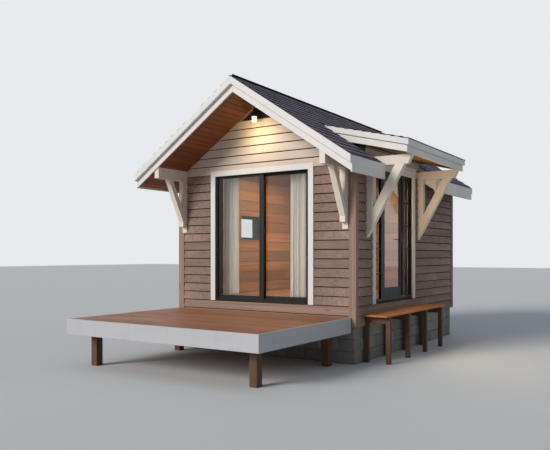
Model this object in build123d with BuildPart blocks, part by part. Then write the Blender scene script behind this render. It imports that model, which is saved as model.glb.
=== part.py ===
from build123d import *
import math
import os

# Board-clad cabin with a front deck, a boarded gable over a sliding patio door, and a bracketed canopy
# over a side door. Millimetres. +X is the cabin's right side seen from the deck, +Y runs to the back,
# +Z up. The origin is on the ground, in the middle of the foot of the front plinth.

# Cabin body
cabin_width = 3660
cabin_depth = 4720
wall_thickness = 180
plinth_height = 600
plinth_thickness = 250
plinth_setback = 20
deck_height = 750
floor_step = 205
door_height = 2225
plate_lift = 26

# Main roof
roof_pitch = 33.8
roof_depth = 235
side_overhang = 350
front_overhang = 863
rear_overhang = 365
eave_board_thickness = 40
rake_board_thickness = 80
rake_board_step = 55
upper_board_depth = 120
lower_board_depth = 112
board_shadow_gap = 12
ridge_cap_width = 150
ridge_cap_thickness = 14

# Patio door in the front wall
patio_width = 1980
casing_width = 100
casing_thickness = 34
casing_drop = 30
frame_overlap = 10
patio_frame_face = 45
patio_frame_head = 20
patio_frame_depth = 140
patio_frame_recess = 12
patio_sill_height = 26
panel_thickness = 40
panel_stile = 70
meeting_stile = 95
panel_top_rail = 32
panel_bottom_rail = 45
track_gap = 12
running_clearance = 5
lock_clearance = 9
seat_clearance = 0.3
roller_diameter = 32
roller_width = 14
roller_inset = 160
glass_thickness = 22
pull_height = 300
pull_width = 24
pull_reach = 38
pull_bar = 14
pull_level = 1050

# Side door with its two narrow sidelights
side_door_width = 1698
side_door_centre = 1549
side_head_lift = 30
side_casing_width = 105
side_head_casing = 180
side_head_cap = 100
side_head_cap_step = 10
side_jamb = 46
side_mullion = 66
leaf_width = 884
leaf_thickness = 44
leaf_stile = 111
leaf_top_rail = 85
leaf_bottom_rail = 175
side_frame_recess = 15
side_frame_head = 60
side_frame_sill = 40
stop_thickness = 12
stop_lap = 12
muntin_width = 26
muntin_depth = 36
sidelight_panes = 5
hinge_radius = 9
hinge_length = 100
hinge_plate = 34
hinge_count = 3
hinge_end_distance = 220
handle_level = 1080
handle_length = 125
handle_bar = 18
handle_reach = 55
handle_plate_height = 230
handle_plate_width = 40
handle_plate_thickness = 8
handle_backset = 60

# Window in the left wall
window_width = 740
window_height = 500
window_centre = 2050
window_sill_height = 1115
window_frame_width = 50
window_frame_depth = 90
window_casing_width = 80

# Notch in the right eave and the canopy over the side door
notch_before_door = 324
notch_behind_door = 352
canopy_before_notch = 176
canopy_behind_notch = 320
canopy_overhang = 807
canopy_spring = 1098
canopy_pitch = 13.9
canopy_depth = 190
canopy_board_thickness = 50
canopy_board_step = 32
canopy_upper_depth = 96
canopy_lower_depth = 102
cheek_thickness = 30

# Brackets
front_bracket_width = 100
left_bracket_inset = 120
right_bracket_inset = 163
front_beam_setback = 81
front_beam_depth = 133
front_post_depth = 130
front_post_tail = 90
front_plate_tail = 200
front_plate_thickness = 34
front_strut_top = 461
front_strut_width = 97
front_strut_angle = 27.0
canopy_bracket_width = 100
canopy_beam_depth = 150
canopy_beam_end_cut = 75
canopy_beam_setback = 2
canopy_post_depth = 132
canopy_foot_drop = 218
canopy_strut_inset = 59
canopy_strut_width = 142
canopy_strut_angle = 29.0

# Corner boards
corner_board_face = 100
corner_board_side = 80
corner_board_thickness = 28

# Front deck
deck_depth = 2592
deck_offset = -60
deck_board_width = 139
deck_board_gap = 5
deck_board_thickness = 28
rim_height = 243
rim_thickness = 38
joist_width = 45
joist_depth = 100
joist_count = 7
girder_width = 90
girder_inset = 305
deck_post_size = 125
deck_post_inset = 228

# Landing at the side door
landing_depth = 450
landing_lift = 35
landing_before_door = 500
landing_behind_door = 552
landing_boards = 3
landing_board_gap = 6
trestle_count = 4
trestle_width = 70
trestle_beam_depth = 110
trestle_end_inset = 120

# Gable lamp
lamp_drop = 543
lamp_reach = 180
lamp_shade_radius = 56
lamp_shade_height = 126
lamp_shade_wall = 4
lamp_neck_radius = 20
lamp_neck_height = 18
lamp_stem_radius = 9
lamp_mount_half = 40
lamp_mount_height = 45
lamp_glass_radius = 42
lamp_glass_tail = 90

# Curtains inside the patio door
curtain_left = -1004
left_curtain_width = 354
right_curtain_width = 480
curtain_thickness = 74
curtain_wave = 10
curtain_fold = 71
curtain_floor_gap = 45
curtain_wall_gap = 48
rod_radius = 11
rod_overrun = 90
rod_lift = 46

# Places that follow from the sizes above
front_face = -(plinth_setback + plinth_thickness / 2)
back_face = front_face + cabin_depth
front_inner = front_face + wall_thickness
back_inner = back_face - wall_thickness
half_width = cabin_width / 2
half_inner = half_width - wall_thickness
floor_level = deck_height + floor_step
patio_head = floor_level + door_height
side_door_head = patio_head + side_head_lift
window_sill_level = floor_level + window_sill_height
eave_half = half_width + side_overhang
roof_front = front_face - front_overhang
roof_rear = back_face + rear_overhang
roof_slope = math.tan(math.radians(roof_pitch))
canopy_slope = math.tan(math.radians(canopy_pitch))
ridge_height = patio_head + plate_lift + roof_depth + half_width * roof_slope
lamp_level = ridge_height - lamp_drop
fascia_depth = upper_board_depth + board_shadow_gap + lower_board_depth
canopy_fascia_depth = canopy_upper_depth + board_shadow_gap + canopy_lower_depth
patio_left = -patio_width / 2
patio_right = patio_width / 2
side_door_middle = front_face + side_door_centre
side_door_near = side_door_middle - side_door_width / 2
side_door_far = side_door_middle + side_door_width / 2
notch_start = side_door_near - notch_before_door
notch_end = side_door_far + notch_behind_door
canopy_reach = half_width + canopy_overhang


def roof_top(x):
    """Height of the main roof's upper surface at a distance from the ridge."""
    return ridge_height - abs(x) * roof_slope


def soffit(x):
    """Height of the main roof's underside at a distance from the ridge."""
    return roof_top(x) - roof_depth


def canopy_top(x):
    """Height of the canopy's upper surface, which springs from the main roof's at a gentler slope."""
    return roof_top(canopy_spring) - (x - canopy_spring) * canopy_slope


def canopy_roof_meeting(depth):
    """The x where a line this far under the canopy's surface runs into the main roof's surface."""
    return canopy_spring + depth / (roof_slope - canopy_slope)


def save(piece, label):
    """Name a finished piece and write it."""
    piece.part.label = label
    export_step(piece.part, f"parts/{label}.step")


def rectangle(x_start, x_end, y_start, y_end, mode=Mode.ADD):
    """A rectangle in the open sketch, from edge to edge."""
    with Locations(((x_start + x_end) / 2, (y_start + y_end) / 2)):
        Rectangle(x_end - x_start, y_end - y_start, mode=mode)


def across(y):
    """An upright plane over the cabin's width, at a place along its depth: X to the right, Z up."""
    return Plane.XZ.offset(-y)


def block(label, x_range, y_range, z_range):
    """A plain rectangular timber, board or slab."""
    with BuildPart() as piece:
        with BuildSketch(Plane.XY.offset(z_range[0])):
            rectangle(*x_range, *y_range)
        extrude(amount=z_range[1] - z_range[0])
    save(piece, label)


os.makedirs("parts", exist_ok=True)

# Plinth: a masonry wall under each cabin wall, with a ledge inside that carries the floor
plinth_outer_x = half_width - plinth_setback
plinth_inner_x = plinth_outer_x - plinth_thickness
plinth_front_y = front_face + plinth_setback
plinth_back_y = back_face - plinth_setback
plinth_inner_front = plinth_front_y + plinth_thickness
plinth_inner_back = plinth_back_y - plinth_thickness

with BuildPart() as plinth_ends:
    with BuildSketch():
        rectangle(-plinth_outer_x, plinth_outer_x, plinth_front_y, plinth_inner_front)
        rectangle(-plinth_outer_x, plinth_outer_x, plinth_inner_back, plinth_back_y)
    extrude(amount=plinth_height)
save(plinth_ends, "plinth_ends")

with BuildPart() as plinth_sides:
    with BuildSketch():
        for side in (-1, 1):
            near_edge, far_edge = sorted((side * plinth_inner_x, side * plinth_outer_x))
            rectangle(near_edge, far_edge, plinth_inner_front, plinth_inner_back)
    extrude(amount=plinth_height)
save(plinth_sides, "plinth_sides")

# Floor platform between the walls
block("cabin_floor", (-half_inner, half_inner), (front_inner, back_inner), (plinth_height, floor_level))


def end_wall_section():
    """The upright section of a gable wall, from the plinth to the roof's underside."""
    Polygon(
        (-half_width, plinth_height),
        (half_width, plinth_height),
        (half_width, soffit(half_width)),
        (0, soffit(0)),
        (-half_width, soffit(half_width)),
        align=None,
    )


# Front wall beside the patio door, and the gable over it
with BuildPart() as front_wall:
    with BuildSketch(across(front_face)):
        end_wall_section()
        rectangle(patio_left, patio_right, plinth_height, patio_head, mode=Mode.SUBTRACT)
        rectangle(-half_width, half_width, patio_head, ridge_height, mode=Mode.SUBTRACT)
    extrude(amount=-wall_thickness)
save(front_wall, "front_wall")

with BuildPart() as front_gable:
    with BuildSketch(across(front_face)):
        end_wall_section()
        rectangle(-half_width, half_width, plinth_height, patio_head, mode=Mode.SUBTRACT)
    extrude(amount=-wall_thickness)
save(front_gable, "front_gable")

# Back wall with its gable in one panel
with BuildPart() as back_wall:
    with BuildSketch(across(back_inner)):
        end_wall_section()
    extrude(amount=-wall_thickness)
save(back_wall, "back_wall")


def side_wall_section(side):
    """The upright section of a side wall, its top cut to the roof's underside."""
    Polygon(
        (side * half_inner, plinth_height),
        (side * half_width, plinth_height),
        (side * half_width, soffit(half_width)),
        (side * half_inner, soffit(half_inner)),
        align=None,
    )


# Left wall with its window opening
window_near = front_face + window_centre - window_width / 2
window_far = window_near + window_width
window_top = window_sill_level + window_height

with BuildPart() as left_wall:
    with BuildSketch(across(front_inner)):
        side_wall_section(-1)
    extrude(amount=front_inner - back_inner)
    with BuildSketch(Plane.YZ.offset(-half_width)):
        rectangle(window_near, window_far, window_sill_level, window_top)
    extrude(amount=wall_thickness, mode=Mode.SUBTRACT)
save(left_wall, "left_wall")

# Right wall beside the side door; the parts under the canopy stop level to carry the door head
with BuildPart() as right_wall:
    for start, end in ((front_inner, notch_start), (notch_end, back_inner)):
        with BuildSketch(across(start)):
            side_wall_section(1)
        extrude(amount=start - end)
    for start, end in ((notch_start, side_door_near), (side_door_far, notch_end)):
        with BuildSketch(across(start)):
            rectangle(half_inner, half_width, plinth_height, side_door_head)
        extrude(amount=start - end)
save(right_wall, "right_wall")

# Door head, which rises past the cut eave to the canopy
with BuildPart() as right_wall_head:
    with BuildSketch(across(notch_start)):
        Polygon(
            (half_inner, side_door_head),
            (half_width, side_door_head),
            (half_width, canopy_top(half_width) - canopy_depth),
            (half_inner, canopy_top(half_inner) - canopy_depth),
            align=None,
        )
    extrude(amount=notch_start - notch_end)
save(right_wall_head, "right_wall_head")

# Thresholds: the clad strips of wall under the two doors
with BuildPart() as door_thresholds:
    with BuildSketch(Plane.XY.offset(plinth_height)):
        rectangle(patio_left, patio_right, front_face, front_inner)
        rectangle(half_inner, half_width, side_door_near, side_door_far)
    extrude(amount=floor_level - plinth_height)
save(door_thresholds, "door_thresholds")

# Lines of the front brackets, at the corners under the gable's overhang
front_bracket_lefts = (
    -half_width + left_bracket_inset - front_bracket_width / 2,
    half_width - right_bracket_inset - front_bracket_width / 2,
)
front_beam_bottom = soffit(front_bracket_lefts[0]) - front_beam_depth
front_post_face = front_face - front_post_depth
front_strut_slope = math.tan(math.radians(front_strut_angle))
front_strut_run = front_strut_width / math.cos(math.radians(front_strut_angle))
front_strut_near = front_face - front_strut_top + front_strut_run / 2
front_strut_drop = (front_post_face - front_strut_near + front_strut_run) / front_strut_slope
front_foot = front_beam_bottom - front_strut_drop

# Lines of the canopy brackets, heavier timbers that stand in the ends of the notch
canopy_bracket_starts = (notch_start, notch_end - canopy_bracket_width)
canopy_beam_end = canopy_reach - canopy_beam_setback
canopy_beam_bottom = canopy_top(canopy_reach) - canopy_fascia_depth - canopy_beam_depth
canopy_post_face = half_width + canopy_post_depth
canopy_strut_slope = math.tan(math.radians(canopy_strut_angle))
canopy_strut_run = canopy_strut_width / math.cos(math.radians(canopy_strut_angle))
canopy_strut_end = canopy_beam_end - canopy_beam_end_cut - canopy_strut_inset
canopy_foot = canopy_beam_bottom - (canopy_strut_end - canopy_post_face) / canopy_strut_slope

# Corner boards: an L at each corner, from the plinth to the roof's underside
with BuildPart() as corner_boards:
    for side in (-1, 1):
        for end_face, inward in ((front_face, 1), (back_face, -1)):
            outer_x = side * (half_width + corner_board_thickness)
            edge_x = side * (half_width - corner_board_face)
            outer_y = end_face - inward * corner_board_thickness
            edge_y = end_face + inward * corner_board_side
            with BuildSketch(Plane.XY.offset(plinth_height)):
                Polygon(
                    (edge_x, outer_y),
                    (outer_x, outer_y),
                    (outer_x, edge_y),
                    (side * half_width, edge_y),
                    (side * half_width, end_face),
                    (edge_x, end_face),
                    align=None,
                )
            extrude(amount=soffit(half_width + corner_board_thickness) - plinth_height)
    with BuildSketch(across(front_face)):
        for left in front_bracket_lefts:
            rectangle(left, left + front_bracket_width, front_foot - front_plate_tail, ridge_height)
    extrude(amount=corner_board_thickness, mode=Mode.SUBTRACT)
save(corner_boards, "corner_boards")


# Main roof: two thick panels that meet on a plumb cut at the ridge
panel_eave = eave_half - eave_board_thickness
panel_front = roof_front + rake_board_thickness
panel_rear = roof_rear - rake_board_thickness


def roof_section(side):
    """The sloping section of a roof panel from the ridge to the eave board."""
    Polygon(
        (0, roof_top(0)),
        (side * panel_eave, roof_top(panel_eave)),
        (side * panel_eave, soffit(panel_eave)),
        (0, soffit(0)),
        align=None,
    )


def rake_strip(side, x_start, x_end, surface, depth_start, depth_end):
    """A strip that follows a sloping roof surface between two depths under it."""
    Polygon(
        (side * x_start, surface(x_start) - depth_start),
        (side * x_end, surface(x_end) - depth_start),
        (side * x_end, surface(x_end) - depth_end),
        (side * x_start, surface(x_start) - depth_end),
        align=None,
    )


with BuildPart() as roof_left:
    with BuildSketch(across(panel_front)):
        roof_section(-1)
    extrude(amount=panel_front - panel_rear)
save(roof_left, "roof_left")

with BuildPart() as roof_right:
    with BuildSketch(across(panel_front)):
        roof_section(1)
    extrude(amount=panel_front - panel_rear)
    with BuildSketch(Plane.XY):
        rectangle(half_inner, half_width, notch_start, notch_end)
        rectangle(half_width, eave_half, notch_start - cheek_thickness, notch_end + cheek_thickness)
    extrude(amount=ridge_height, mode=Mode.SUBTRACT)
save(roof_right, "roof_right")

# Notch boards: they close the cut ends of the roof panel beside the notch
with BuildPart() as notch_boards:
    for near in (notch_start - cheek_thickness, notch_end):
        with BuildSketch(across(near)):
            rake_strip(1, half_width, panel_eave, roof_top, 0, roof_depth)
        extrude(amount=-cheek_thickness)
save(notch_boards, "notch_boards")

with BuildPart() as ridge_cap:
    with BuildSketch(across(roof_front)):
        cap_edge = roof_top(ridge_cap_width)
        Polygon(
            (-ridge_cap_width, cap_edge),
            (0, ridge_height),
            (ridge_cap_width, cap_edge),
            (ridge_cap_width, cap_edge + ridge_cap_thickness),
            (0, ridge_height + ridge_cap_thickness),
            (-ridge_cap_width, cap_edge + ridge_cap_thickness),
            align=None,
        )
    extrude(amount=roof_front - roof_rear)
save(ridge_cap, "ridge_cap")

# Bargeboards: an upper board, a shadow gap and a lower board set back, up both rakes of both gables
lower_start = upper_board_depth + board_shadow_gap
for side, name in ((-1, "bargeboards_left"), (1, "bargeboards_right")):
    with BuildPart() as bargeboards:
        for outer_y, inward in ((roof_front, 1), (roof_rear, -1)):
            inner_y = outer_y + inward * rake_board_thickness
            lower_thickness = rake_board_thickness - rake_board_step
            with BuildSketch(across(inner_y)):
                rake_strip(side, 0, eave_half, roof_top, 0, upper_board_depth)
            extrude(amount=inward * rake_board_thickness)
            with BuildSketch(across(inner_y)):
                rake_strip(side, 0, eave_half, roof_top, lower_start, fascia_depth)
            extrude(amount=inward * lower_thickness)
            with BuildSketch(across(inner_y)):
                rake_strip(side, 0, panel_eave, roof_top, upper_board_depth, lower_start)
            extrude(amount=inward * lower_thickness / 2)
    save(bargeboards, name)

# Eave boards: plain ones down the left side and down the right with the notch between them, and a
# stepped one on the canopy's edge
canopy_near = notch_start - canopy_before_notch
canopy_far = notch_end + canopy_behind_notch
canopy_edge = canopy_reach - canopy_board_thickness
canopy_lower_start = canopy_upper_depth + board_shadow_gap
canopy_lower_thickness = canopy_board_thickness - canopy_board_step
canopy_edge_top = canopy_top(canopy_reach)
with BuildPart() as eave_boards:
    for side, start, end in (
        (-1, panel_front, panel_rear),
        (1, panel_front, notch_start),
        (1, notch_end, panel_rear),
    ):
        with BuildSketch(across(start)):
            Polygon(
                (side * panel_eave, roof_top(panel_eave)),
                (side * eave_half, roof_top(eave_half)),
                (side * eave_half, roof_top(eave_half) - fascia_depth),
                (side * panel_eave, roof_top(eave_half) - fascia_depth),
                align=None,
            )
        extrude(amount=start - end)
    with BuildSketch(across(canopy_near + canopy_board_thickness)):
        Polygon(
            (canopy_edge, canopy_top(canopy_edge)),
            (canopy_reach, canopy_edge_top),
            (canopy_reach, canopy_edge_top - canopy_upper_depth),
            (canopy_edge + canopy_lower_thickness / 2, canopy_edge_top - canopy_upper_depth),
            (canopy_edge + canopy_lower_thickness / 2, canopy_edge_top - canopy_lower_start),
            (canopy_edge + canopy_lower_thickness, canopy_edge_top - canopy_lower_start),
            (canopy_edge + canopy_lower_thickness, canopy_edge_top - canopy_fascia_depth),
            (canopy_edge, canopy_edge_top - canopy_fascia_depth),
            align=None,
        )
    extrude(amount=canopy_near - canopy_far + 2 * canopy_board_thickness)
save(eave_boards, "eave_boards")

# Canopy: a wedge that lies on the main roof and runs out over the side door
with BuildPart() as canopy_roof:
    with BuildSketch(across(canopy_near + canopy_board_thickness)):
        tip = canopy_roof_meeting(0)
        under = canopy_roof_meeting(canopy_depth)
        Polygon(
            (tip, canopy_top(tip)),
            (canopy_edge, canopy_top(canopy_edge)),
            (canopy_edge, canopy_top(canopy_edge) - canopy_depth),
            (under, canopy_top(under) - canopy_depth),
            align=None,
        )
    extrude(amount=canopy_near - canopy_far + 2 * canopy_board_thickness)
save(canopy_roof, "canopy_roof")


def scribed_strip(depth_start, depth_end, x_end):
    """A canopy side strip whose upper end is cut to lie on the main roof."""
    start = canopy_roof_meeting(depth_start)
    end = canopy_roof_meeting(depth_end)
    Polygon(
        (start, canopy_top(start) - depth_start),
        (x_end, canopy_top(x_end) - depth_start),
        (x_end, canopy_top(x_end) - depth_end),
        (end, canopy_top(end) - depth_end),
        align=None,
    )


with BuildPart() as canopy_side_boards:
    for outer_y, inward in ((canopy_near, 1), (canopy_far, -1)):
        inner_y = outer_y + inward * canopy_board_thickness
        with BuildSketch(across(inner_y)):
            scribed_strip(0, canopy_upper_depth, canopy_reach)
        extrude(amount=inward * canopy_board_thickness)
        with BuildSketch(across(inner_y)):
            scribed_strip(canopy_lower_start, canopy_fascia_depth, canopy_edge + canopy_lower_thickness)
        extrude(amount=inward * canopy_lower_thickness)
        with BuildSketch(across(inner_y)):
            scribed_strip(canopy_upper_depth, canopy_lower_start, canopy_edge)
        extrude(amount=inward * canopy_lower_thickness / 2)
save(canopy_side_boards, "canopy_side_boards")

# Cheeks: the boards that close the wedge between the main roof and the canopy
with BuildPart() as canopy_cheeks:
    for near in (notch_start - cheek_thickness, notch_end):
        with BuildSketch(across(near)):
            Polygon(
                (under, roof_top(under)),
                (half_width, roof_top(half_width)),
                (half_width, canopy_top(half_width) - canopy_depth),
                align=None,
            )
        extrude(amount=-cheek_thickness)
save(canopy_cheeks, "canopy_cheeks")

# Brackets: posts on the walls, beams under the roofs, and struts between them
with BuildPart() as bracket_posts:
    for left in front_bracket_lefts:
        with BuildSketch(Plane.YZ.offset(left)):
            Polygon(
                (front_face, front_foot - front_plate_tail),
                (front_face, front_beam_bottom),
                (front_post_face, front_beam_bottom),
                (front_post_face, front_foot - front_post_tail),
                (front_face - front_plate_thickness, front_foot - front_post_tail),
                (front_face - front_plate_thickness, front_foot - front_plate_tail),
                align=None,
            )
        extrude(amount=front_bracket_width)
    for start in canopy_bracket_starts:
        with BuildSketch(across(start)):
            Polygon(
                (half_width, canopy_foot - canopy_foot_drop),
                (half_width, canopy_beam_bottom),
                (canopy_post_face, canopy_beam_bottom),
                (canopy_post_face, canopy_foot),
                align=None,
            )
        extrude(amount=-canopy_bracket_width)
save(bracket_posts, "bracket_posts")

with BuildPart() as bracket_struts:
    for left in front_bracket_lefts:
        with BuildSketch(Plane.YZ.offset(left)):
            Polygon(
                (front_strut_near, front_beam_bottom),
                (front_strut_near - front_strut_run, front_beam_bottom),
                (front_post_face, front_foot),
                (front_post_face, front_foot + front_strut_run / front_strut_slope),
                align=None,
            )
        extrude(amount=front_bracket_width)
    for start in canopy_bracket_starts:
        with BuildSketch(across(start)):
            Polygon(
                (canopy_strut_end - canopy_strut_run, canopy_beam_bottom),
                (canopy_strut_end, canopy_beam_bottom),
                (canopy_post_face, canopy_foot),
                (canopy_post_face, canopy_foot + canopy_strut_run / canopy_strut_slope),
                align=None,
            )
        extrude(amount=-canopy_bracket_width)
save(bracket_struts, "bracket_struts")

with BuildPart() as bracket_beams:
    for left in front_bracket_lefts:
        right = left + front_bracket_width
        with BuildSketch(across(front_face)):
            Polygon(
                (left, front_beam_bottom),
                (right, front_beam_bottom),
                (right, soffit(right)),
                (left, soffit(left)),
                align=None,
            )
        extrude(amount=front_overhang - front_beam_setback)
    for start in canopy_bracket_starts:
        with BuildSketch(across(start)):
            Polygon(
                (half_width, canopy_beam_bottom),
                (canopy_beam_end - canopy_beam_end_cut, canopy_beam_bottom),
                (canopy_beam_end, canopy_beam_bottom + canopy_beam_depth),
                (half_width, canopy_beam_bottom + canopy_beam_depth),
                align=None,
            )
        extrude(amount=-canopy_bracket_width)
save(bracket_beams, "bracket_beams")

# Door casings: boards on the wall faces that lap the frames, the side one with a thicker cap on its head
casing_foot = floor_level - casing_drop
casing_left = patio_left + frame_overlap
casing_right = patio_right - frame_overlap
casing_top = patio_head - frame_overlap
side_casing_near = side_door_near + frame_overlap
side_casing_far = side_door_far - frame_overlap
side_casing_top = side_door_head - frame_overlap
side_cap_near = side_casing_near - side_casing_width
side_cap_far = side_casing_far + side_casing_width
side_cap_top = side_casing_top + side_head_casing
with BuildPart() as door_casings:
    with BuildSketch(across(front_face)):
        rectangle(
            casing_left - casing_width, casing_right + casing_width, casing_foot, casing_top + casing_width
        )
        rectangle(casing_left, casing_right, casing_foot, casing_top, mode=Mode.SUBTRACT)
    extrude(amount=casing_thickness)
    with BuildSketch(Plane.YZ.offset(half_width)):
        rectangle(side_cap_near, side_cap_far, casing_foot, side_cap_top)
        rectangle(side_casing_near, side_casing_far, casing_foot, side_casing_top, mode=Mode.SUBTRACT)
    extrude(amount=casing_thickness)
    with BuildSketch(Plane.YZ.offset(half_width)):
        rectangle(side_cap_near, side_cap_far, side_cap_top - side_head_cap, side_cap_top)
    extrude(amount=casing_thickness + side_head_cap_step)
save(door_casings, "door_casings")

# Patio door frame, with an outer track for the fixed panel and an inner track for the sliding one
frame_y = front_face + patio_frame_recess
clear_left = patio_left + patio_frame_face
clear_right = patio_right - patio_frame_face
clear_bottom = floor_level + patio_sill_height
clear_top = patio_head - patio_frame_head
with BuildPart() as patio_frame:
    with BuildSketch(across(frame_y)):
        rectangle(patio_left, patio_right, floor_level, patio_head)
        rectangle(clear_left, clear_right, clear_bottom, clear_top, mode=Mode.SUBTRACT)
    extrude(amount=-patio_frame_depth)
save(patio_frame, "patio_frame")

panel_width = (clear_right - clear_left + meeting_stile) / 2
fixed_y = frame_y + (patio_frame_depth - 2 * panel_thickness - track_gap) / 2
sliding_y = fixed_y + panel_thickness + track_gap


def panel_pane(outline, left_stile, right_stile, mode=Mode.ADD):
    """The opening that the stiles and rails of a door panel leave for its glass."""
    x_start, x_end, z_start, z_end = outline
    rectangle(
        x_start + left_stile,
        x_end - right_stile,
        z_start + panel_bottom_rail,
        z_end - panel_top_rail,
        mode=mode,
    )


panel_glass_inset = (panel_thickness - glass_thickness) / 2
fixed_outline = (clear_left, clear_left + panel_width, clear_bottom, clear_top)
with BuildPart() as patio_fixed_panel:
    with BuildSketch(across(fixed_y)):
        rectangle(*fixed_outline)
        panel_pane(fixed_outline, panel_stile, meeting_stile, mode=Mode.SUBTRACT)
    extrude(amount=-panel_thickness)
save(patio_fixed_panel, "patio_fixed_panel")

sliding_x = (clear_right - running_clearance - panel_width, clear_right - running_clearance)
sliding_outline = (*sliding_x, clear_bottom + running_clearance, clear_top - running_clearance)
roller_radius = roller_diameter / 2
roller_centre_z = clear_bottom + seat_clearance + roller_radius
with BuildPart() as patio_sliding_panel:
    with BuildSketch(across(sliding_y)):
        rectangle(*sliding_outline)
        panel_pane(sliding_outline, meeting_stile, panel_stile, mode=Mode.SUBTRACT)
    extrude(amount=-panel_thickness)
    with BuildSketch(across(sliding_y + (panel_thickness - roller_width) / 2)):
        with Locations(
            (sliding_x[0] + roller_inset, roller_centre_z), (sliding_x[1] - roller_inset, roller_centre_z)
        ):
            Circle(roller_radius)
    extrude(amount=-roller_width)
save(patio_sliding_panel, "patio_sliding_panel")

with BuildPart() as patio_sliding_glass:
    with BuildSketch(across(sliding_y + panel_glass_inset)):
        panel_pane(sliding_outline, meeting_stile, panel_stile)
    extrude(amount=-glass_thickness)
save(patio_sliding_glass, "patio_sliding_glass")

# Pull handle on the sliding panel's lock stile
pull_x = sliding_x[1] - panel_stile / 2
pull_bottom = floor_level + pull_level - pull_height / 2
with BuildPart() as patio_pull:
    with BuildSketch(Plane.YZ.offset(pull_x - pull_width / 2)):
        Polygon(
            (sliding_y, pull_bottom),
            (sliding_y - pull_reach, pull_bottom + pull_bar),
            (sliding_y - pull_reach, pull_bottom + pull_height - pull_bar),
            (sliding_y, pull_bottom + pull_height),
            (sliding_y, pull_bottom + pull_height - 2 * pull_bar),
            (sliding_y - pull_reach + pull_bar, pull_bottom + pull_height - 2 * pull_bar),
            (sliding_y - pull_reach + pull_bar, pull_bottom + 2 * pull_bar),
            (sliding_y, pull_bottom + 2 * pull_bar),
            align=None,
        )
    extrude(amount=pull_width)
save(patio_pull, "patio_pull")

# Side door frame: jambs, head, sill and two mullions, with a leaf between two narrow sidelights
frame_outer_x = half_width - side_frame_recess
leaf_outer_x = frame_outer_x - stop_thickness - running_clearance
leaf_inner_x = leaf_outer_x - leaf_thickness
frame_inner_x = leaf_inner_x
leaf_near = side_door_middle - leaf_width / 2
leaf_far = side_door_middle + leaf_width / 2
doorway_near = leaf_near - running_clearance
doorway_far = leaf_far + lock_clearance
doorway_bottom = floor_level + side_frame_sill
doorway_top = side_door_head - side_frame_head
sidelights = (
    (side_door_near + side_jamb, doorway_near - side_mullion),
    (doorway_far + side_mullion, side_door_far - side_jamb),
)
pane_pitch = (doorway_top - doorway_bottom) / sidelight_panes
bar_x = (frame_outer_x + frame_inner_x) / 2 - muntin_depth / 2
with BuildPart() as side_door_frame:
    with BuildSketch(Plane.YZ.offset(frame_inner_x)):
        rectangle(side_door_near, side_door_far, floor_level, side_door_head)
        rectangle(doorway_near, doorway_far, doorway_bottom, doorway_top, mode=Mode.SUBTRACT)
        for glass_near, glass_far in sidelights:
            rectangle(glass_near, glass_far, doorway_bottom, doorway_top, mode=Mode.SUBTRACT)
    extrude(amount=frame_outer_x - frame_inner_x)
save(side_door_frame, "side_door_frame")

# Frame trim: the stop round the doorway that the leaf shuts on, and the glazing bars of the sidelights
with BuildPart() as side_frame_trim:
    with BuildSketch(Plane.YZ.offset(frame_outer_x - stop_thickness)):
        rectangle(doorway_near, doorway_far, doorway_bottom, doorway_top)
        rectangle(
            leaf_near + stop_lap,
            leaf_far - stop_lap,
            doorway_bottom + running_clearance + stop_lap,
            doorway_top - running_clearance - stop_lap,
            mode=Mode.SUBTRACT,
        )
    extrude(amount=stop_thickness)
    with BuildSketch(Plane.YZ.offset(bar_x)):
        for glass_near, glass_far in sidelights:
            for bar in range(1, sidelight_panes):
                bar_z = doorway_bottom + bar * pane_pitch
                rectangle(glass_near, glass_far, bar_z - muntin_width / 2, bar_z + muntin_width / 2)
    extrude(amount=muntin_depth)
save(side_frame_trim, "side_frame_trim")

# Side door leaf, shut, and its glass
leaf_bottom = doorway_bottom + running_clearance
leaf_top = doorway_top - running_clearance
leaf_glass_bottom = leaf_bottom + leaf_bottom_rail
leaf_glass_top = leaf_top - leaf_top_rail
with BuildPart() as side_door_leaf:
    with BuildSketch(Plane.YZ.offset(leaf_inner_x)):
        rectangle(leaf_near, leaf_far, leaf_bottom, leaf_top)
        rectangle(
            leaf_near + leaf_stile,
            leaf_far - leaf_stile,
            leaf_glass_bottom,
            leaf_glass_top,
            mode=Mode.SUBTRACT,
        )
    extrude(amount=leaf_thickness)
save(side_door_leaf, "side_door_leaf")

leaf_glass_x = (leaf_inner_x + leaf_outer_x - glass_thickness) / 2
block(
    "side_door_glass",
    (leaf_glass_x, leaf_glass_x + glass_thickness),
    (leaf_near + leaf_stile, leaf_far - leaf_stile),
    (leaf_glass_bottom, leaf_glass_top),
)

# Hinges: barrels inside the leaf's front edge, each on a plate on the mullion
hinge_x = leaf_inner_x - seat_clearance - hinge_radius
hinge_y = doorway_near + running_clearance / 2
hinge_span = leaf_top - leaf_bottom - 2 * hinge_end_distance
with BuildPart() as side_door_hinges:
    for hinge in range(hinge_count):
        hinge_z = leaf_bottom + hinge_end_distance + hinge * hinge_span / (hinge_count - 1)
        with BuildSketch(Plane.XY.offset(hinge_z - hinge_length / 2)):
            with Locations((hinge_x, hinge_y)):
                Circle(hinge_radius)
            Polygon(
                (hinge_x, hinge_y - hinge_radius),
                (frame_inner_x, hinge_y - hinge_plate),
                (frame_inner_x, doorway_near),
                (hinge_x, hinge_y),
                align=None,
            )
        extrude(amount=hinge_length)
save(side_door_hinges, "side_door_hinges")

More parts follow.
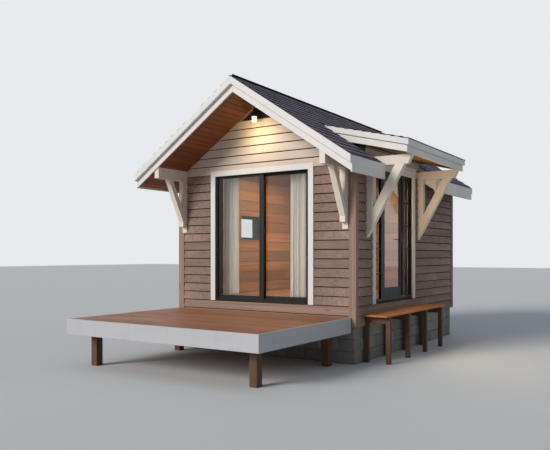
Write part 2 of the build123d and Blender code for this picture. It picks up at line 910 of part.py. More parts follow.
# Lever handles on both faces of the leaf's lock stile
lever_y = leaf_far - handle_backset
lever_z = floor_level + handle_level
with BuildPart() as side_door_handle:
    for face_x, outward in ((leaf_outer_x, 1), (leaf_inner_x, -1)):
        with BuildSketch(Plane.YZ.offset(face_x)):
            with Locations((lever_y, lever_z)):
                Rectangle(handle_plate_width, handle_plate_height)
        extrude(amount=outward * handle_plate_thickness)
        with BuildSketch(Plane.YZ.offset(face_x)):
            with Locations((lever_y, lever_z)):
                Circle(handle_bar / 2)
        extrude(amount=outward * handle_reach)
        with BuildSketch(Plane.YZ.offset(face_x + outward * (handle_reach - handle_bar))):
            rectangle(
                lever_y - handle_length,
                lever_y + handle_bar / 2,
                lever_z - handle_bar / 2,
                lever_z + handle_bar / 2,
            )
        extrude(amount=outward * handle_bar)
save(side_door_handle, "side_door_handle")

# Window in the left wall: a frame with a casing flange outside, and its pane
window_outer_x = -(half_width + casing_thickness)
with BuildPart() as window_frame:
    with BuildSketch(Plane.YZ.offset(window_outer_x)):
        rectangle(
            window_near - window_casing_width,
            window_far + window_casing_width,
            window_sill_level - window_casing_width,
            window_top + window_casing_width,
        )
    extrude(amount=casing_thickness)
    with BuildSketch(Plane.YZ.offset(-half_width)):
        rectangle(window_near, window_far, window_sill_level, window_top)
    extrude(amount=window_frame_depth)
    with BuildSketch(Plane.YZ.offset(window_outer_x)):
        rectangle(
            window_near + window_frame_width,
            window_far - window_frame_width,
            window_sill_level + window_frame_width,
            window_top - window_frame_width,
        )
    extrude(amount=casing_thickness + window_frame_depth, mode=Mode.SUBTRACT)
save(window_frame, "window_frame")

# Fixed glass: the patio door's still panel, the two sidelights and the window
with BuildPart() as fixed_glass:
    with BuildSketch(across(fixed_y + panel_glass_inset)):
        panel_pane(fixed_outline, panel_stile, meeting_stile)
    extrude(amount=-glass_thickness)
    with BuildSketch(Plane.YZ.offset(bar_x - glass_thickness)):
        for glass_near, glass_far in sidelights:
            rectangle(glass_near, glass_far, doorway_bottom, doorway_top)
    extrude(amount=glass_thickness)
    with BuildSketch(Plane.YZ.offset(-half_width + (window_frame_depth - glass_thickness) / 2)):
        rectangle(
            window_near + window_frame_width,
            window_far - window_frame_width,
            window_sill_level + window_frame_width,
            window_top - window_frame_width,
        )
    extrude(amount=glass_thickness)
save(fixed_glass, "fixed_glass")

# Deck: boards across, on joists that run out from the wall
deck_front = front_face - deck_depth
deck_back = front_face - corner_board_thickness
deck_left = deck_offset - half_width
deck_right = deck_offset + half_width
deck_inner_left = deck_left + rim_thickness
deck_inner_right = deck_right - rim_thickness
boards_front = deck_front + rim_thickness
boards_bottom = deck_height - deck_board_thickness
board_pitch = deck_board_width + deck_board_gap
board_count = int((deck_back - boards_front) // board_pitch)
board_run = (deck_back - boards_front + deck_board_gap) / board_count
with BuildPart() as deck_boards:
    with BuildSketch(Plane.XY.offset(boards_bottom)):
        for board in range(board_count):
            board_start = boards_front + board * board_run
            board_end = board_start + board_run - deck_board_gap
            rectangle(deck_inner_left, deck_inner_right, board_start, board_end)
    extrude(amount=deck_board_thickness)
save(deck_boards, "deck_boards")

# Rim: a front board and two side boards, mitred at the corners
rim_bottom = deck_height - rim_height
with BuildPart() as deck_rim_front:
    with BuildSketch(Plane.XY.offset(rim_bottom)):
        Polygon(
            (deck_left, deck_front),
            (deck_right, deck_front),
            (deck_inner_right, boards_front),
            (deck_inner_left, boards_front),
            align=None,
        )
    extrude(amount=rim_height)
save(deck_rim_front, "deck_rim_front")

with BuildPart() as deck_rim_sides:
    with BuildSketch(Plane.XY.offset(rim_bottom)):
        for outer_x, inner_x in ((deck_left, deck_inner_left), (deck_right, deck_inner_right)):
            Polygon(
                (outer_x, deck_front),
                (outer_x, deck_back),
                (inner_x, deck_back),
                (inner_x, boards_front),
                align=None,
            )
    extrude(amount=rim_height)
save(deck_rim_sides, "deck_rim_sides")

joist_bottom = boards_bottom - joist_depth
joist_pitch = (deck_inner_right - deck_inner_left - joist_width) / (joist_count - 1)
with BuildPart() as deck_joists:
    with BuildSketch(Plane.XY.offset(joist_bottom)):
        for joist in range(joist_count):
            joist_start = deck_inner_left + joist * joist_pitch
            rectangle(joist_start, joist_start + joist_width, boards_front, deck_back)
    extrude(amount=joist_depth)
save(deck_joists, "deck_joists")

girder_lines = (deck_front + girder_inset + girder_width / 2, front_face - girder_inset)
with BuildPart() as deck_girders:
    with BuildSketch(Plane.XY.offset(rim_bottom)):
        for line in girder_lines:
            rectangle(deck_inner_left, deck_inner_right, line - girder_width / 2, line + girder_width / 2)
    extrude(amount=joist_bottom - rim_bottom)
save(deck_girders, "deck_girders")

with BuildPart() as deck_posts:
    with BuildSketch():
        for line in girder_lines:
            with Locations((deck_left + deck_post_inset + deck_post_size / 2, line)):
                Rectangle(deck_post_size, deck_post_size)
            with Locations((deck_right - deck_post_inset - deck_post_size / 2, line)):
                Rectangle(deck_post_size, deck_post_size)
    extrude(amount=rim_bottom)
save(deck_posts, "deck_posts")

# Landing at the side door: boards along the wall on trestles
landing_near = side_door_near - landing_before_door
landing_far = side_door_far + landing_behind_door
landing_outer = half_width + landing_depth
landing_bottom = boards_bottom + landing_lift
landing_board_run = (landing_depth + landing_board_gap) / landing_boards
with BuildPart() as landing_deck:
    with BuildSketch(Plane.XY.offset(landing_bottom)):
        for board in range(landing_boards):
            board_start = half_width + board * landing_board_run
            rectangle(
                board_start, board_start + landing_board_run - landing_board_gap, landing_near, landing_far
            )
    extrude(amount=deck_board_thickness)
save(landing_deck, "landing_deck")

trestle_run = landing_far - landing_near - 2 * trestle_end_inset - trestle_width
with BuildPart() as landing_trestles:
    for trestle in range(trestle_count):
        trestle_near = landing_near + trestle_end_inset + trestle * trestle_run / (trestle_count - 1)
        with BuildSketch(across(trestle_near)):
            rectangle(half_width, landing_outer, 0, landing_bottom)
            rectangle(
                half_width + trestle_width,
                landing_outer - trestle_width,
                0,
                landing_bottom - trestle_beam_depth,
                mode=Mode.SUBTRACT,
            )
        extrude(amount=-trestle_width)
save(landing_trestles, "landing_trestles")

# Gable lamp: a narrow conical shade on a stem that hangs from a block under the ridge
lamp_y = front_face - lamp_reach
shade_top = lamp_level + lamp_shade_height
neck_top = shade_top + lamp_neck_height
mount_bottom = soffit(0) - lamp_mount_height
with BuildPart() as gable_lamp:
    with BuildSketch(Plane.XZ.offset(-lamp_y)):
        Polygon(
            (0, shade_top - lamp_shade_wall),
            (lamp_neck_radius, shade_top - lamp_shade_wall),
            (lamp_shade_radius - lamp_shade_wall, lamp_level),
            (lamp_shade_radius, lamp_level),
            (lamp_neck_radius, shade_top),
            (lamp_neck_radius, neck_top),
            (lamp_stem_radius, neck_top),
            (lamp_stem_radius, mount_bottom),
            (0, mount_bottom),
            align=None,
        )
    revolve(axis=Axis((0, lamp_y, 0), (0, 0, 1)))
    with BuildSketch(across(lamp_y - lamp_mount_half)):
        Polygon(
            (-lamp_mount_half, mount_bottom),
            (lamp_mount_half, mount_bottom),
            (lamp_mount_half, soffit(lamp_mount_half)),
            (0, soffit(0)),
            (-lamp_mount_half, soffit(lamp_mount_half)),
            align=None,
        )
    extrude(amount=-2 * lamp_mount_half)
save(gable_lamp, "gable_lamp")

# Lamp glass, held in the shade's crown and hanging past its rim
with BuildPart() as lamp_glass:
    with BuildSketch(Plane.XY.offset(lamp_level - lamp_glass_tail)):
        with Locations((0, lamp_y)):
            Circle(lamp_glass_radius)
    extrude(amount=lamp_glass_tail)
    with BuildSketch(Plane.XY.offset(lamp_level)):
        with Locations((0, lamp_y)):
            Circle(lamp_neck_radius - lamp_shade_wall)
    extrude(amount=lamp_shade_height - lamp_shade_wall)
save(lamp_glass, "lamp_glass")

# Curtain rod on two wall brackets, and the two gathered curtains that hang under it
rod_y = front_inner + curtain_wall_gap + curtain_thickness / 2
rod_z = patio_head + rod_lift
rod_left = patio_left - rod_overrun
rod_right = patio_right + rod_overrun
with BuildPart() as curtain_rod:
    with BuildSketch(Plane.YZ.offset(rod_left)):
        with Locations((rod_y, rod_z)):
            Circle(rod_radius)
    extrude(amount=rod_right - rod_left)
    for bracket_x in (rod_left + rod_overrun / 2, rod_right - rod_overrun / 2):
        with BuildSketch(across(front_inner)):
            with Locations((bracket_x, rod_z)):
                Rectangle(rod_radius, 2 * rod_radius)
        extrude(amount=front_inner - rod_y)
save(curtain_rod, "curtain_rod")

curtain_top = rod_z - rod_radius - seat_clearance
curtain_bottom = floor_level + curtain_floor_gap
curtain_spans = (
    (curtain_left, left_curtain_width),
    (clear_right - right_curtain_width, right_curtain_width),
)
with BuildPart() as curtains:
    for curtain_start, curtain_width in curtain_spans:
        fold_count = round(curtain_width / curtain_fold)
        fold_width = curtain_width / fold_count
        curtain_end = curtain_start + curtain_width
        with BuildSketch(Plane.XY.offset(curtain_bottom)):
            with BuildLine():
                front_line = rod_y - curtain_thickness / 2
                back_line = rod_y + curtain_thickness / 2
                front_points = []
                for fold in range(2 * fold_count + 1):
                    ripple = curtain_wave if fold % 2 else 0
                    front_points.append((curtain_start + fold * fold_width / 2, front_line + ripple))
                Spline(*front_points)
                Line(front_points[-1], (curtain_end, back_line))
                Line((curtain_end, back_line), (curtain_start, back_line))
                Line((curtain_start, back_line), front_points[0])
            make_face()
        extrude(amount=curtain_top - curtain_bottom)
save(curtains, "curtains")
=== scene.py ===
"""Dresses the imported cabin: cladding, shingles, boards, doors, glass, curtains, lamp, camera and light."""

import math
import random

import bmesh
import bpy
from mathutils import Matrix, Vector


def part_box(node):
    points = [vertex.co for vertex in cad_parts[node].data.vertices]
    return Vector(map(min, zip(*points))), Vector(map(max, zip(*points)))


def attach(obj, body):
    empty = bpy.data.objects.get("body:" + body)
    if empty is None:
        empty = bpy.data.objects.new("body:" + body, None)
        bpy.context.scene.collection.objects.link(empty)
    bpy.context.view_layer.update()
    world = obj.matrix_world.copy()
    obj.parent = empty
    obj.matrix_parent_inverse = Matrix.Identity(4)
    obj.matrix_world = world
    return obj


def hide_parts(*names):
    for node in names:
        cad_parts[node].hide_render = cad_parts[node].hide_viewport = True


bl_info = {
    "name": "Timber cabin",
    "version": (1, 0, 0),
    "blender": (4, 5, 0),
    "location": "View3D > Sidebar > Cabin",
    "description": "Builds the cladding, shingles, boards, doors, curtains and light of a small timber cabin",
    "category": "Add Mesh",
}

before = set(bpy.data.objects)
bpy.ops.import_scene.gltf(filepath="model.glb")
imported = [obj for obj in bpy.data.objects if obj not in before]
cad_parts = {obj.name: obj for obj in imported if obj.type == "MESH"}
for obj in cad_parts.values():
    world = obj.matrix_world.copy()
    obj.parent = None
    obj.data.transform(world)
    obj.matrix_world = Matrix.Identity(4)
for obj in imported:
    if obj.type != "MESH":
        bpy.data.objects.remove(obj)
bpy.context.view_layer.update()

# Thickness of the boards that close the notch in the eave, in metres
NOTCH_BOARD = 0.03

# Places of the cabin, read from the frame, in metres
FRONT, FRONT_INNER = (corner.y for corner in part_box("front_wall"))
BACK_INNER, BACK = (corner.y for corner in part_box("back_wall"))
HALF_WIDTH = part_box("front_wall")[1].x
HALF_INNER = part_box("cabin_floor")[1].x
PLINTH_TOP, FLOOR = (corner.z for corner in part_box("cabin_floor"))
ROOF_FRONT, ROOF_REAR = (corner.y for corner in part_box("roof_left"))
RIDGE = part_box("roof_left")[1].z
ROOF_EDGE = -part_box("roof_left")[0].x
NOTCH_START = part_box("notch_boards")[0].y + NOTCH_BOARD
NOTCH_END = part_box("notch_boards")[1].y - NOTCH_BOARD
CANOPY_SPAN = tuple(corner.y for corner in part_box("canopy_roof"))
CANOPY_SPRING, CANOPY_EDGE = (corner.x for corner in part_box("canopy_roof"))
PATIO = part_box("patio_frame")
SIDE_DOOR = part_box("side_door_frame")
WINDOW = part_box("window_frame")

# Sizes that the frame doesn't give by itself, in metres and radians
ROOF_PITCH = math.radians(33.8)
CANOPY_PITCH = math.radians(13.9)
ROOF_DEPTH = 0.235
CANOPY_DEPTH = 0.19
PATIO_CASING = 0.09
SIDE_CASING = 0.095
SIDE_HEAD_CASING = 0.17
WINDOW_CASING = 0.08
RAKE_BOARD = 0.08
CANOPY_BOARD = 0.05
CORNER_FACE = 0.1
CORNER_SIDE = 0.08
COLOUR_CHANGE = 3.208
VENT_FOOT = 4.122
VENT_COURSE = 0.05
VENT_GAP = 0.008
SIDING_GAP = 0.009
NARROWEST_COURSE = 0.06
LONGEST_BOARD = 2.0
BOARD_JOINT = 0.0012
SOFFIT_GAP = 0.012
BLOCK_LENGTH = 0.42
BLOCK_DEPTH = 0.25
BLOCK_JOINT = 0.005
BLOCK_STAGGER = 0.25
MORTAR_SETBACK = 0.02
LINING_THICK = 0.011
LINING_FOOT = 0.012
LINING_GROOVE = 0.008
FLOORBOARD = 0.13
FLOORBOARD_THICK = 0.004
SOFFIT_THICK = 0.007
CANOPY_SOFFIT_THICK = 0.008
STARTER_COURSE = 0.085
SHINGLE_OVERLAP = 0.05
SHINGLE_SINK = 0.01
NARROWEST_SHINGLE = 0.03
CAP_EXPOSURE = 0.17
CAP_WIDTH = 0.15
CAP_THICK = 0.006
CAP_LIFT = 0.008
DECK_BOARDS = 17
DECK_GAP = 0.005
LANDING_BOARDS = 3
LANDING_GAP = 0.006
LEFT_CURTAIN = 0.354
RIGHT_CURTAIN = 0.48
FOLD_DEPTH = 0.031
FOLD_STEPS = 12
DROP_STEPS = 28
CLOTH_THICK = 0.0016
EVEN_TONE = 0.5
WARM = (1.0, 0.76, 0.48)

# The other slope of the roof is this one turned by half a turn
HALF_TURN = Matrix.Rotation(math.pi, 4, "Z")


def roof_top(x):
    """Height of the main roof's surface at a distance from the ridge."""
    return RIDGE - abs(x) * math.tan(ROOF_PITCH)


def soffit(x):
    """Height of the main roof's underside at a distance from the ridge."""
    return roof_top(x) - ROOF_DEPTH


def canopy_top(x):
    """Height of the canopy's surface."""
    return roof_top(CANOPY_SPRING) - (x - CANOPY_SPRING) * math.tan(CANOPY_PITCH)


# Settings that a user would change


def length_setting(name, description, default):
    """A length in metres."""
    return bpy.props.FloatProperty(name=name, description=description, default=default, unit="LENGTH")


def colour_setting(name, description, default):
    """A linear colour."""
    return bpy.props.FloatVectorProperty(
        name=name, description=description, default=default, size=3, min=0, max=1, subtype="COLOR"
    )


class CabinSizes(bpy.types.PropertyGroup):
    """Sizes of the boards, courses and folds."""

    course: length_setting("Siding course", "Height of one course of siding", 0.1524)
    siding_butt: length_setting("Siding butt", "Thickness of a siding board at its lower edge", 0.027)
    siding_tip: length_setting("Siding tip", "Thickness of a siding board at its upper edge", 0.008)
    siding_groove: length_setting("Siding groove", "Height of the groove between two courses", 0.015)
    lining_course: length_setting("Lining course", "Height of one board of the inner lining", 0.215)
    soffit_board: length_setting("Soffit board", "Width of one soffit board", 0.105)
    shingle_exposure: length_setting("Shingle exposure", "Part of each shingle course that shows", 0.1655)
    shingle_width: length_setting("Shingle width", "Usual width of one shingle", 0.24)
    shingle_butt: length_setting("Shingle butt", "Thickness of one shingle", 0.012)
    curtain_fold: length_setting("Curtain fold", "Width of one fold of a curtain", 0.098)
    block_height: length_setting("Block height", "Height of one course of plinth blocks", 0.2)
    edge_round: length_setting("Edge rounding", "Rounding of planed timber edges", 0.003)


class CabinColours(bpy.types.PropertyGroup):
    """Colours of the finishes."""

    siding: colour_setting("Siding", "Stained siding", (0.400, 0.257, 0.192))
    # Painted shade: a near-black brown on the walls behind the siding and lining, the canopy cheeks and the
    # vent slats, so that the gaps and recesses there read as shaded
    groove: colour_setting("Grooves", "Wall behind the siding's grooves_painted_shade", (0.030, 0.019, 0.013))
    cream: colour_setting("Gable", "Cream gable boards", (0.61, 0.51, 0.42))
    trim: colour_setting("Trim", "Off-white trim paint", (0.72, 0.69, 0.66))
    # Partly painted light: the off-white trim paint of the brackets, tinted warm cream to stand in for the
    # warm lamp light on them
    bracket_warm_lit: colour_setting("Brackets", "Cream bracket paint", (0.74, 0.66, 0.56))
    soffit: colour_setting("Soffit", "Oiled soffit boards", (0.31, 0.092, 0.024))
    lining: colour_setting("Lining", "Oiled inner lining", (0.31, 0.142, 0.050))
    floor: colour_setting("Floor", "Cabin floorboards", (0.24, 0.11, 0.05))
    roof: colour_setting("Roof", "Granule-faced shingles", (0.145, 0.121, 0.160))
    deck: colour_setting("Deck", "Oiled deck boards", (0.40, 0.15, 0.058))
    landing: colour_setting("Landing", "Oiled landing boards", (0.55, 0.205, 0.062))
    rim: colour_setting("Rim", "Pale deck rim", (0.47, 0.46, 0.48))
    framing: colour_setting("Framing", "Stained framing timber", (0.14, 0.075, 0.045))
    door: colour_setting("Door frames", "Powder-coated door frames", (0.0055, 0.0060, 0.0065))
    metal: colour_setting("Ironmongery", "Satin black metal", (0.02, 0.02, 0.02))
    # Partly painted light: the linen's colour, made paler than the cloth to stand in for light that the glass
    # keeps off the curtains
    curtain: colour_setting("Curtains", "Linen curtains", (0.88, 0.76, 0.67))
    stone: colour_setting("Plinth", "Masonry plinth blocks", (0.30, 0.28, 0.25))
    lamp: colour_setting("Lamp", "Light of the gable lamp", (1.0, 0.72, 0.36))


# Small steps of modelling


def clear_selection():
    """Leave edit mode and select nothing."""
    if bpy.context.mode != "OBJECT":
        bpy.ops.object.mode_set(mode="OBJECT")
    bpy.ops.object.select_all(action="DESELECT")


def pick(piece):
    """Select one piece alone and make it active."""
    clear_selection()
    piece.select_set(True)
    bpy.context.view_layer.objects.active = piece


def block(name, low, high):
    """Add a rectangular block between two corners, with its place in its mesh."""
    low, high = Vector(low), Vector(high)
    clear_selection()
    bpy.ops.mesh.primitive_cube_add(size=1, location=(low + high) / 2)
    piece = bpy.context.object
    piece.name = name
    piece.scale = high - low
    bpy.ops.object.transform_apply(location=True, rotation=True, scale=True)
    return piece


def select_where(piece, test, kind):
    """Go to edit mode and select the vertices or edges that pass a test."""
    pick(piece)
    bpy.ops.object.mode_set(mode="EDIT")
    bpy.ops.mesh.select_mode(type=kind)
    bpy.ops.mesh.select_all(action="DESELECT")
    shape = bmesh.from_edit_mesh(piece.data)
    for part in {"VERT": shape.verts, "EDGE": shape.edges}[kind]:
        if test(part):
            part.select = True
    shape.select_flush_mode()
    bmesh.update_edit_mesh(piece.data)


def leave_edit():
    """Return to object mode."""
    bpy.ops.object.mode_set(mode="OBJECT")


def round_edges(piece, width, segments=1):
    """Bevel the sharp edges of a piece."""
    pick(piece)
    bevel = piece.modifiers.new("Round edges", "BEVEL")
    bevel.width = width
    bevel.segments = segments
    bevel.limit_method = "ANGLE"
    bevel.angle_limit = math.radians(25)
    bpy.ops.object.modifier_apply(modifier=bevel.name)


def trim_off(piece, point, normal):
    """Cut a piece along a plane and drop what is on the normal's side."""
    pick(piece)
    bpy.ops.object.mode_set(mode="EDIT")
    bpy.ops.mesh.select_all(action="SELECT")
    bpy.ops.mesh.bisect(plane_co=point, plane_no=normal, use_fill=True, clear_outer=True)
    leave_edit()


def discard(piece):
    """Remove a piece that was only a cutter or a pattern."""
    mesh = piece.data
    bpy.data.objects.remove(piece)
    bpy.data.meshes.remove(mesh)


def cut_opening(piece, low, high):
    """Cut a box-shaped opening out of a piece."""
    cutter = block("cutter", low, high)
    pick(piece)
    cut = piece.modifiers.new("Opening", "BOOLEAN")
    cut.operation = "DIFFERENCE"
    cut.solver = "EXACT"
    cut.object = cutter
    bpy.ops.object.modifier_apply(modifier=cut.name)
    discard(cutter)


def tone_layer(piece):
    """The attribute that a material reads to vary board from board."""
    return piece.data.attributes.get("tone") or piece.data.attributes.new("tone", "FLOAT", "POINT")


def set_tone(piece, value):
    """Give every point of a piece one tone."""
    tone_layer(piece).data.foreach_set("value", [value] * len(piece.data.vertices))


def tone_by_place(piece, axis, pitch, start, seed):
    """Give each board of a piece its own tone, by where its points lie along an axis."""
    for vertex, tone in zip(piece.data.vertices, tone_layer(piece).data):
        cell = math.floor((vertex.co[axis] - start) / pitch)
        tone.value = random.Random(seed * 1000 + cell).random()


def copy_as(name, piece):
    """A copy of a piece, with its own mesh and no material."""
    twin = bpy.data.objects.new(name, piece.data.copy())
    twin.data.materials.clear()
    bpy.context.scene.collection.objects.link(twin)
    return twin


def bring(piece, place, tone):
    """Move a piece's mesh by a matrix and give it a tone."""
    piece.data.transform(place)
    set_tone(piece, tone)
    return piece


def laid(low, high, place, tone, rounding=0.0, segments=1):
    """A block between two corners, rounded, brought to its place and given a tone."""
    piece = block("board", low, high)
    if rounding:
        round_edges(piece, rounding, segments)
    return bring(piece, place, tone)


def join_as(name, parts):
    """Join pieces into one."""
    clear_selection()
    for part in parts:
        part.select_set(True)
    bpy.context.view_layer.objects.active = parts[0]
    if len(parts) > 1:
        bpy.ops.object.join()
    piece = bpy.context.object
    piece.name = name
    piece.data.name = name
    return piece


def finish_piece(piece, finish, replaced=(), body="cabin"):
    """Give a finished piece its material and body, and hide the CAD nodes it stands for."""
    clear_selection()
    piece.data.materials.clear()
    piece.data.materials.append(MATERIALS[finish])
    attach(piece, body)
    if replaced:
        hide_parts(*replaced)
    return piece


def paint_nodes(finish, *nodes):
    """Give CAD nodes that show as they are their material."""
    for node in nodes:
        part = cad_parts[node]
        if part.material_slots:
            for place in part.material_slots:
                place.material = MATERIALS[finish]
        else:
            part.data.materials.append(MATERIALS[finish])


def plane_node(node, finish, width, body="cabin", suffix="planed", tones=None):
    """Stand a copy of a CAD node in for it, its loose triangles merged and its edges rounded."""
    piece = copy_as(f"{node}_{suffix}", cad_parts[node])
    pick(piece)
    bpy.ops.object.mode_set(mode="EDIT")
    bpy.ops.mesh.select_all(action="SELECT")
    bpy.ops.mesh.remove_doubles(threshold=0.00002)
    bpy.ops.mesh.dissolve_limited(angle_limit=math.radians(1))
    leave_edit()
    if piece.data.has_custom_normals:
        bpy.ops.mesh.customdata_custom_splitnormals_clear()
    bpy.ops.object.shade_flat()
    round_edges(piece, width, 2)
    if tones:
        tone_by_place(piece, *tones)
    else:
        set_tone(piece, EVEN_TONE)
    finish_piece(piece, finish, (node,), body)


# Materials

MATERIALS = {}


def feed(tree, made, inputs):
    """Link or set the inputs of a shader node."""
    for key, value in inputs.items():
        if isinstance(value, bpy.types.NodeSocket):
            tree.links.new(value, made.inputs[key])
        else:
            made.inputs[key].default_value = value


def add_node(tree, kind, inputs=None, **settings):
    """Add a shader node with its settings and inputs."""
    made = tree.nodes.new("ShaderNode" + kind)
    for name, value in settings.items():
        setattr(made, name, value)
    feed(tree, made, inputs or {})
    return made


def maths(tree, operation, first, second=0.0):
    """A number worked out from others."""
    return add_node(tree, "Math", {0: first, 1: second}, operation=operation).outputs[0]


def remap(tree, value, low, high, new_low, new_high):
    """A number moved from one range to another."""
    return add_node(tree, "MapRange", {0: value, 1: low, 2: high, 3: new_low, 4: new_high}).outputs[0]


def mix_colour(tree, factor, first, second):
    """A mix of two colours."""
    return add_node(tree, "Mix", {0: factor, 6: first, 7: second}, data_type="RGBA").outputs[2]


def tint(tree, base, mask, share, colour):
    """A colour with some of another where a mask is high."""
    return mix_colour(tree, maths(tree, "MULTIPLY", mask, share), base, colour)


def brighten(tree, base, tone, low, high):
    """A colour made darker or lighter by the tone of its board."""
    share = remap(tree, tone, 0.0, 1.0, low, high)
    return add_node(tree, "VectorMath", {0: base, "Scale": share}, operation="SCALE").outputs[0]


def stretch(tree, place, shares):
    """Coordinates multiplied along each axis."""
    return add_node(tree, "VectorMath", {0: place, 1: shares}, operation="MULTIPLY").outputs[0]


def noise(tree, place, scale, detail, **more):
    """Noise of a scale and detail."""
    return add_node(tree, "TexNoise", {"Vector": place, "Scale": scale, "Detail": detail, **more}).outputs[0]


def rgba(colour, share=1.0):
    """A colour with full alpha, made darker or lighter by a share."""
    return (*(min(1.0, channel * share) for channel in colour), 1.0)


def new_group(name, inputs, outputs):
    """Start a shader node group that takes coordinates and numbers, and gives numbers."""
    tree = bpy.data.node_groups.new(name, "ShaderNodeTree")
    sockets = [("Vector", "INPUT", "Vector"), *((label, "INPUT", "Float") for label in inputs)]
    for label, way, kind in (*sockets, *((label, "OUTPUT", "Float") for label in outputs)):
        tree.interface.new_socket(name=label, in_out=way, socket_type="NodeSocket" + kind)
    return tree, tree.nodes.new("NodeGroupInput").outputs, tree.nodes.new("NodeGroupOutput")


def build_grain_group():
    """Long wood grain along the X of the coordinates that come in, with its fine fibres and knots."""
    tree, given, result = new_group("Wood grain", ("Tone",), ("Grain", "Fibre", "Knots"))
    shift = add_node(tree, "CombineXYZ", {0: maths(tree, "MULTIPLY", given["Tone"], 41.0)}).outputs[0]
    place = add_node(tree, "VectorMath", {0: given["Vector"], 1: shift}, operation="ADD").outputs[0]
    broad = noise(tree, stretch(tree, place, (0.5, 22.0, 22.0)), 1.0, 5.0, Roughness=0.6, Distortion=0.3)
    fine = noise(tree, stretch(tree, place, (5.0, 160.0, 160.0)), 1.0, 3.0)
    knots = add_node(tree, "TexVoronoi", {"Vector": stretch(tree, place, (1.3, 7.0, 7.0)), "Scale": 1.0})
    inputs = {
        "Grain": remap(tree, broad, 0.3, 0.7, 0.0, 1.0),
        "Fibre": fine,
        "Knots": remap(tree, knots.outputs["Distance"], 0.02, 0.13, 1.0, 0.0),
    }
    feed(tree, result, inputs)


def build_weather_group():
    """Broad patches and fine specks, for dust, wear and uneven colour."""
    tree, given, result = new_group("Weather", (), ("Patches", "Specks", "Streaks"))
    place = given["Vector"]
    patches = noise(tree, place, 1.7, 5.0, Roughness=0.62)
    streaks = noise(tree, stretch(tree, place, (9.0, 9.0, 0.7)), 1.0, 4.0)
    inputs = {
        "Patches": remap(tree, patches, 0.35, 0.65, 0.0, 1.0),
        "Specks": noise(tree, place, 60.0, 2.0),
        "Streaks": remap(tree, streaks, 0.4, 0.7, 0.0, 1.0),
    }
    feed(tree, result, inputs)


def start_material(key, name):
    """Start a material, keep it under its key, and return its node tree and Principled shader."""
    MATERIALS[key] = material = bpy.data.materials.new(name)
    material.use_nodes = True
    tree = material.node_tree
    return tree, next(made for made in tree.nodes if made.type == "BSDF_PRINCIPLED")


def own_place(tree):
    """The object's own coordinates."""
    return add_node(tree, "TexCoord").outputs["Object"]


def place_group(tree, name, **inputs):
    """The results of a node group."""
    return add_node(tree, "Group", inputs, node_tree=bpy.data.node_groups[name]).outputs


def board_tone(tree):
    """The tone that the board's points carry."""
    return add_node(tree, "Attribute", attribute_name="tone").outputs["Fac"]


def bump(tree, height, strength, distance):
    """A normal that follows a height."""
    inputs = {"Height": height, "Strength": strength, "Distance": distance}
    return add_node(tree, "Bump", inputs).outputs[0]


def board_material(key, name, colour, along, painted=False, rough=0.62, spread=0.22, dark=0.55, bleach=0.0):
    """Sawn or planed boards: grain, fibres, knots, a tone for each board, and weathered patches."""
    tree, shader = start_material(key, name)
    place = own_place(tree)
    weather = place_group(tree, "Weather", Vector=place)
    tone = board_tone(tree)
    parts = add_node(tree, "SeparateXYZ", {0: place}).outputs
    order = {"X": (0, 1, 2), "Y": (1, 0, 2), "Z": (2, 0, 1)}[along]
    turned = add_node(tree, "CombineXYZ", {to: parts[source] for to, source in enumerate(order)}).outputs[0]
    grain = place_group(tree, "Wood grain", Vector=turned, Tone=tone)
    show = 0.25 if painted else 1.0
    base = tint(tree, rgba(colour, 1.08), grain["Grain"], show * 0.8, rgba(colour, dark))
    base = tint(tree, base, grain["Fibre"], show * 0.5, rgba(colour, dark * 1.15))
    if not painted:
        base = tint(tree, base, grain["Knots"], 0.7, rgba(colour, dark * 0.45))
    base = brighten(tree, base, tone, 1.0 - spread, 1.0 + spread)
    if bleach:
        grey = sum(colour) / 3
        bleached = (grey * 1.12, grey * 1.06, grey * 1.02, 1.0)
        base = tint(tree, base, weather["Patches"], bleach, bleached)
    base = tint(tree, base, weather["Streaks"], 0.08, rgba(colour, dark * 0.7))
    fibres = maths(tree, "MULTIPLY", grain["Fibre"], 0.6)
    height = maths(tree, "ADD", fibres, maths(tree, "MULTIPLY", grain["Grain"], -0.5))
    inputs = {
        "Base Color": base,
        "Roughness": remap(tree, weather["Patches"], 0.0, 1.0, rough - 0.08, rough + 0.12),
        "Specular IOR Level": 0.35,
        "Normal": bump(tree, height, 0.25 if painted else 0.55, 0.002),
    }
    feed(tree, shader, inputs)


def shingle_material(colour):
    """Granule-faced shingles, each with its own tone, dust that gathers in patches, and butts darkened as
    bare asphalt and painted shade.
    """
    tree, shader = start_material("roof", "Shingles")
    place = own_place(tree)
    weather = place_group(tree, "Weather", Vector=place)
    granules = add_node(tree, "TexVoronoi", {"Vector": place, "Scale": 260.0})
    speck = add_node(tree, "SeparateColor", {0: granules.outputs["Color"]}).outputs[0]
    base = mix_colour(tree, speck, rgba(colour, 0.55), rgba(colour, 1.5))
    base = brighten(tree, base, board_tone(tree), 0.62, 1.38)
    base = tint(tree, base, weather["Patches"], 0.3, (0.17, 0.15, 0.165, 1.0))
    # Faces that do not look up are darkened: partly the bare asphalt of the cut edges, partly painted shade
    # under each course
    faces = add_node(tree, "NewGeometry").outputs["True Normal"]
    upward = add_node(tree, "SeparateXYZ", {0: faces}).outputs["Z"]
    cut_edge_and_shade = maths(tree, "LESS_THAN", upward, 0.4)
    inputs = {
        "Base Color": tint(tree, base, cut_edge_and_shade, 0.85, (0.008, 0.007, 0.009, 1.0)),
        "Roughness": 0.85,
        "Specular IOR Level": 0.3,
        "Normal": bump(tree, granules.outputs["Distance"], 0.6, 0.0015),
    }
    feed(tree, shader, inputs)


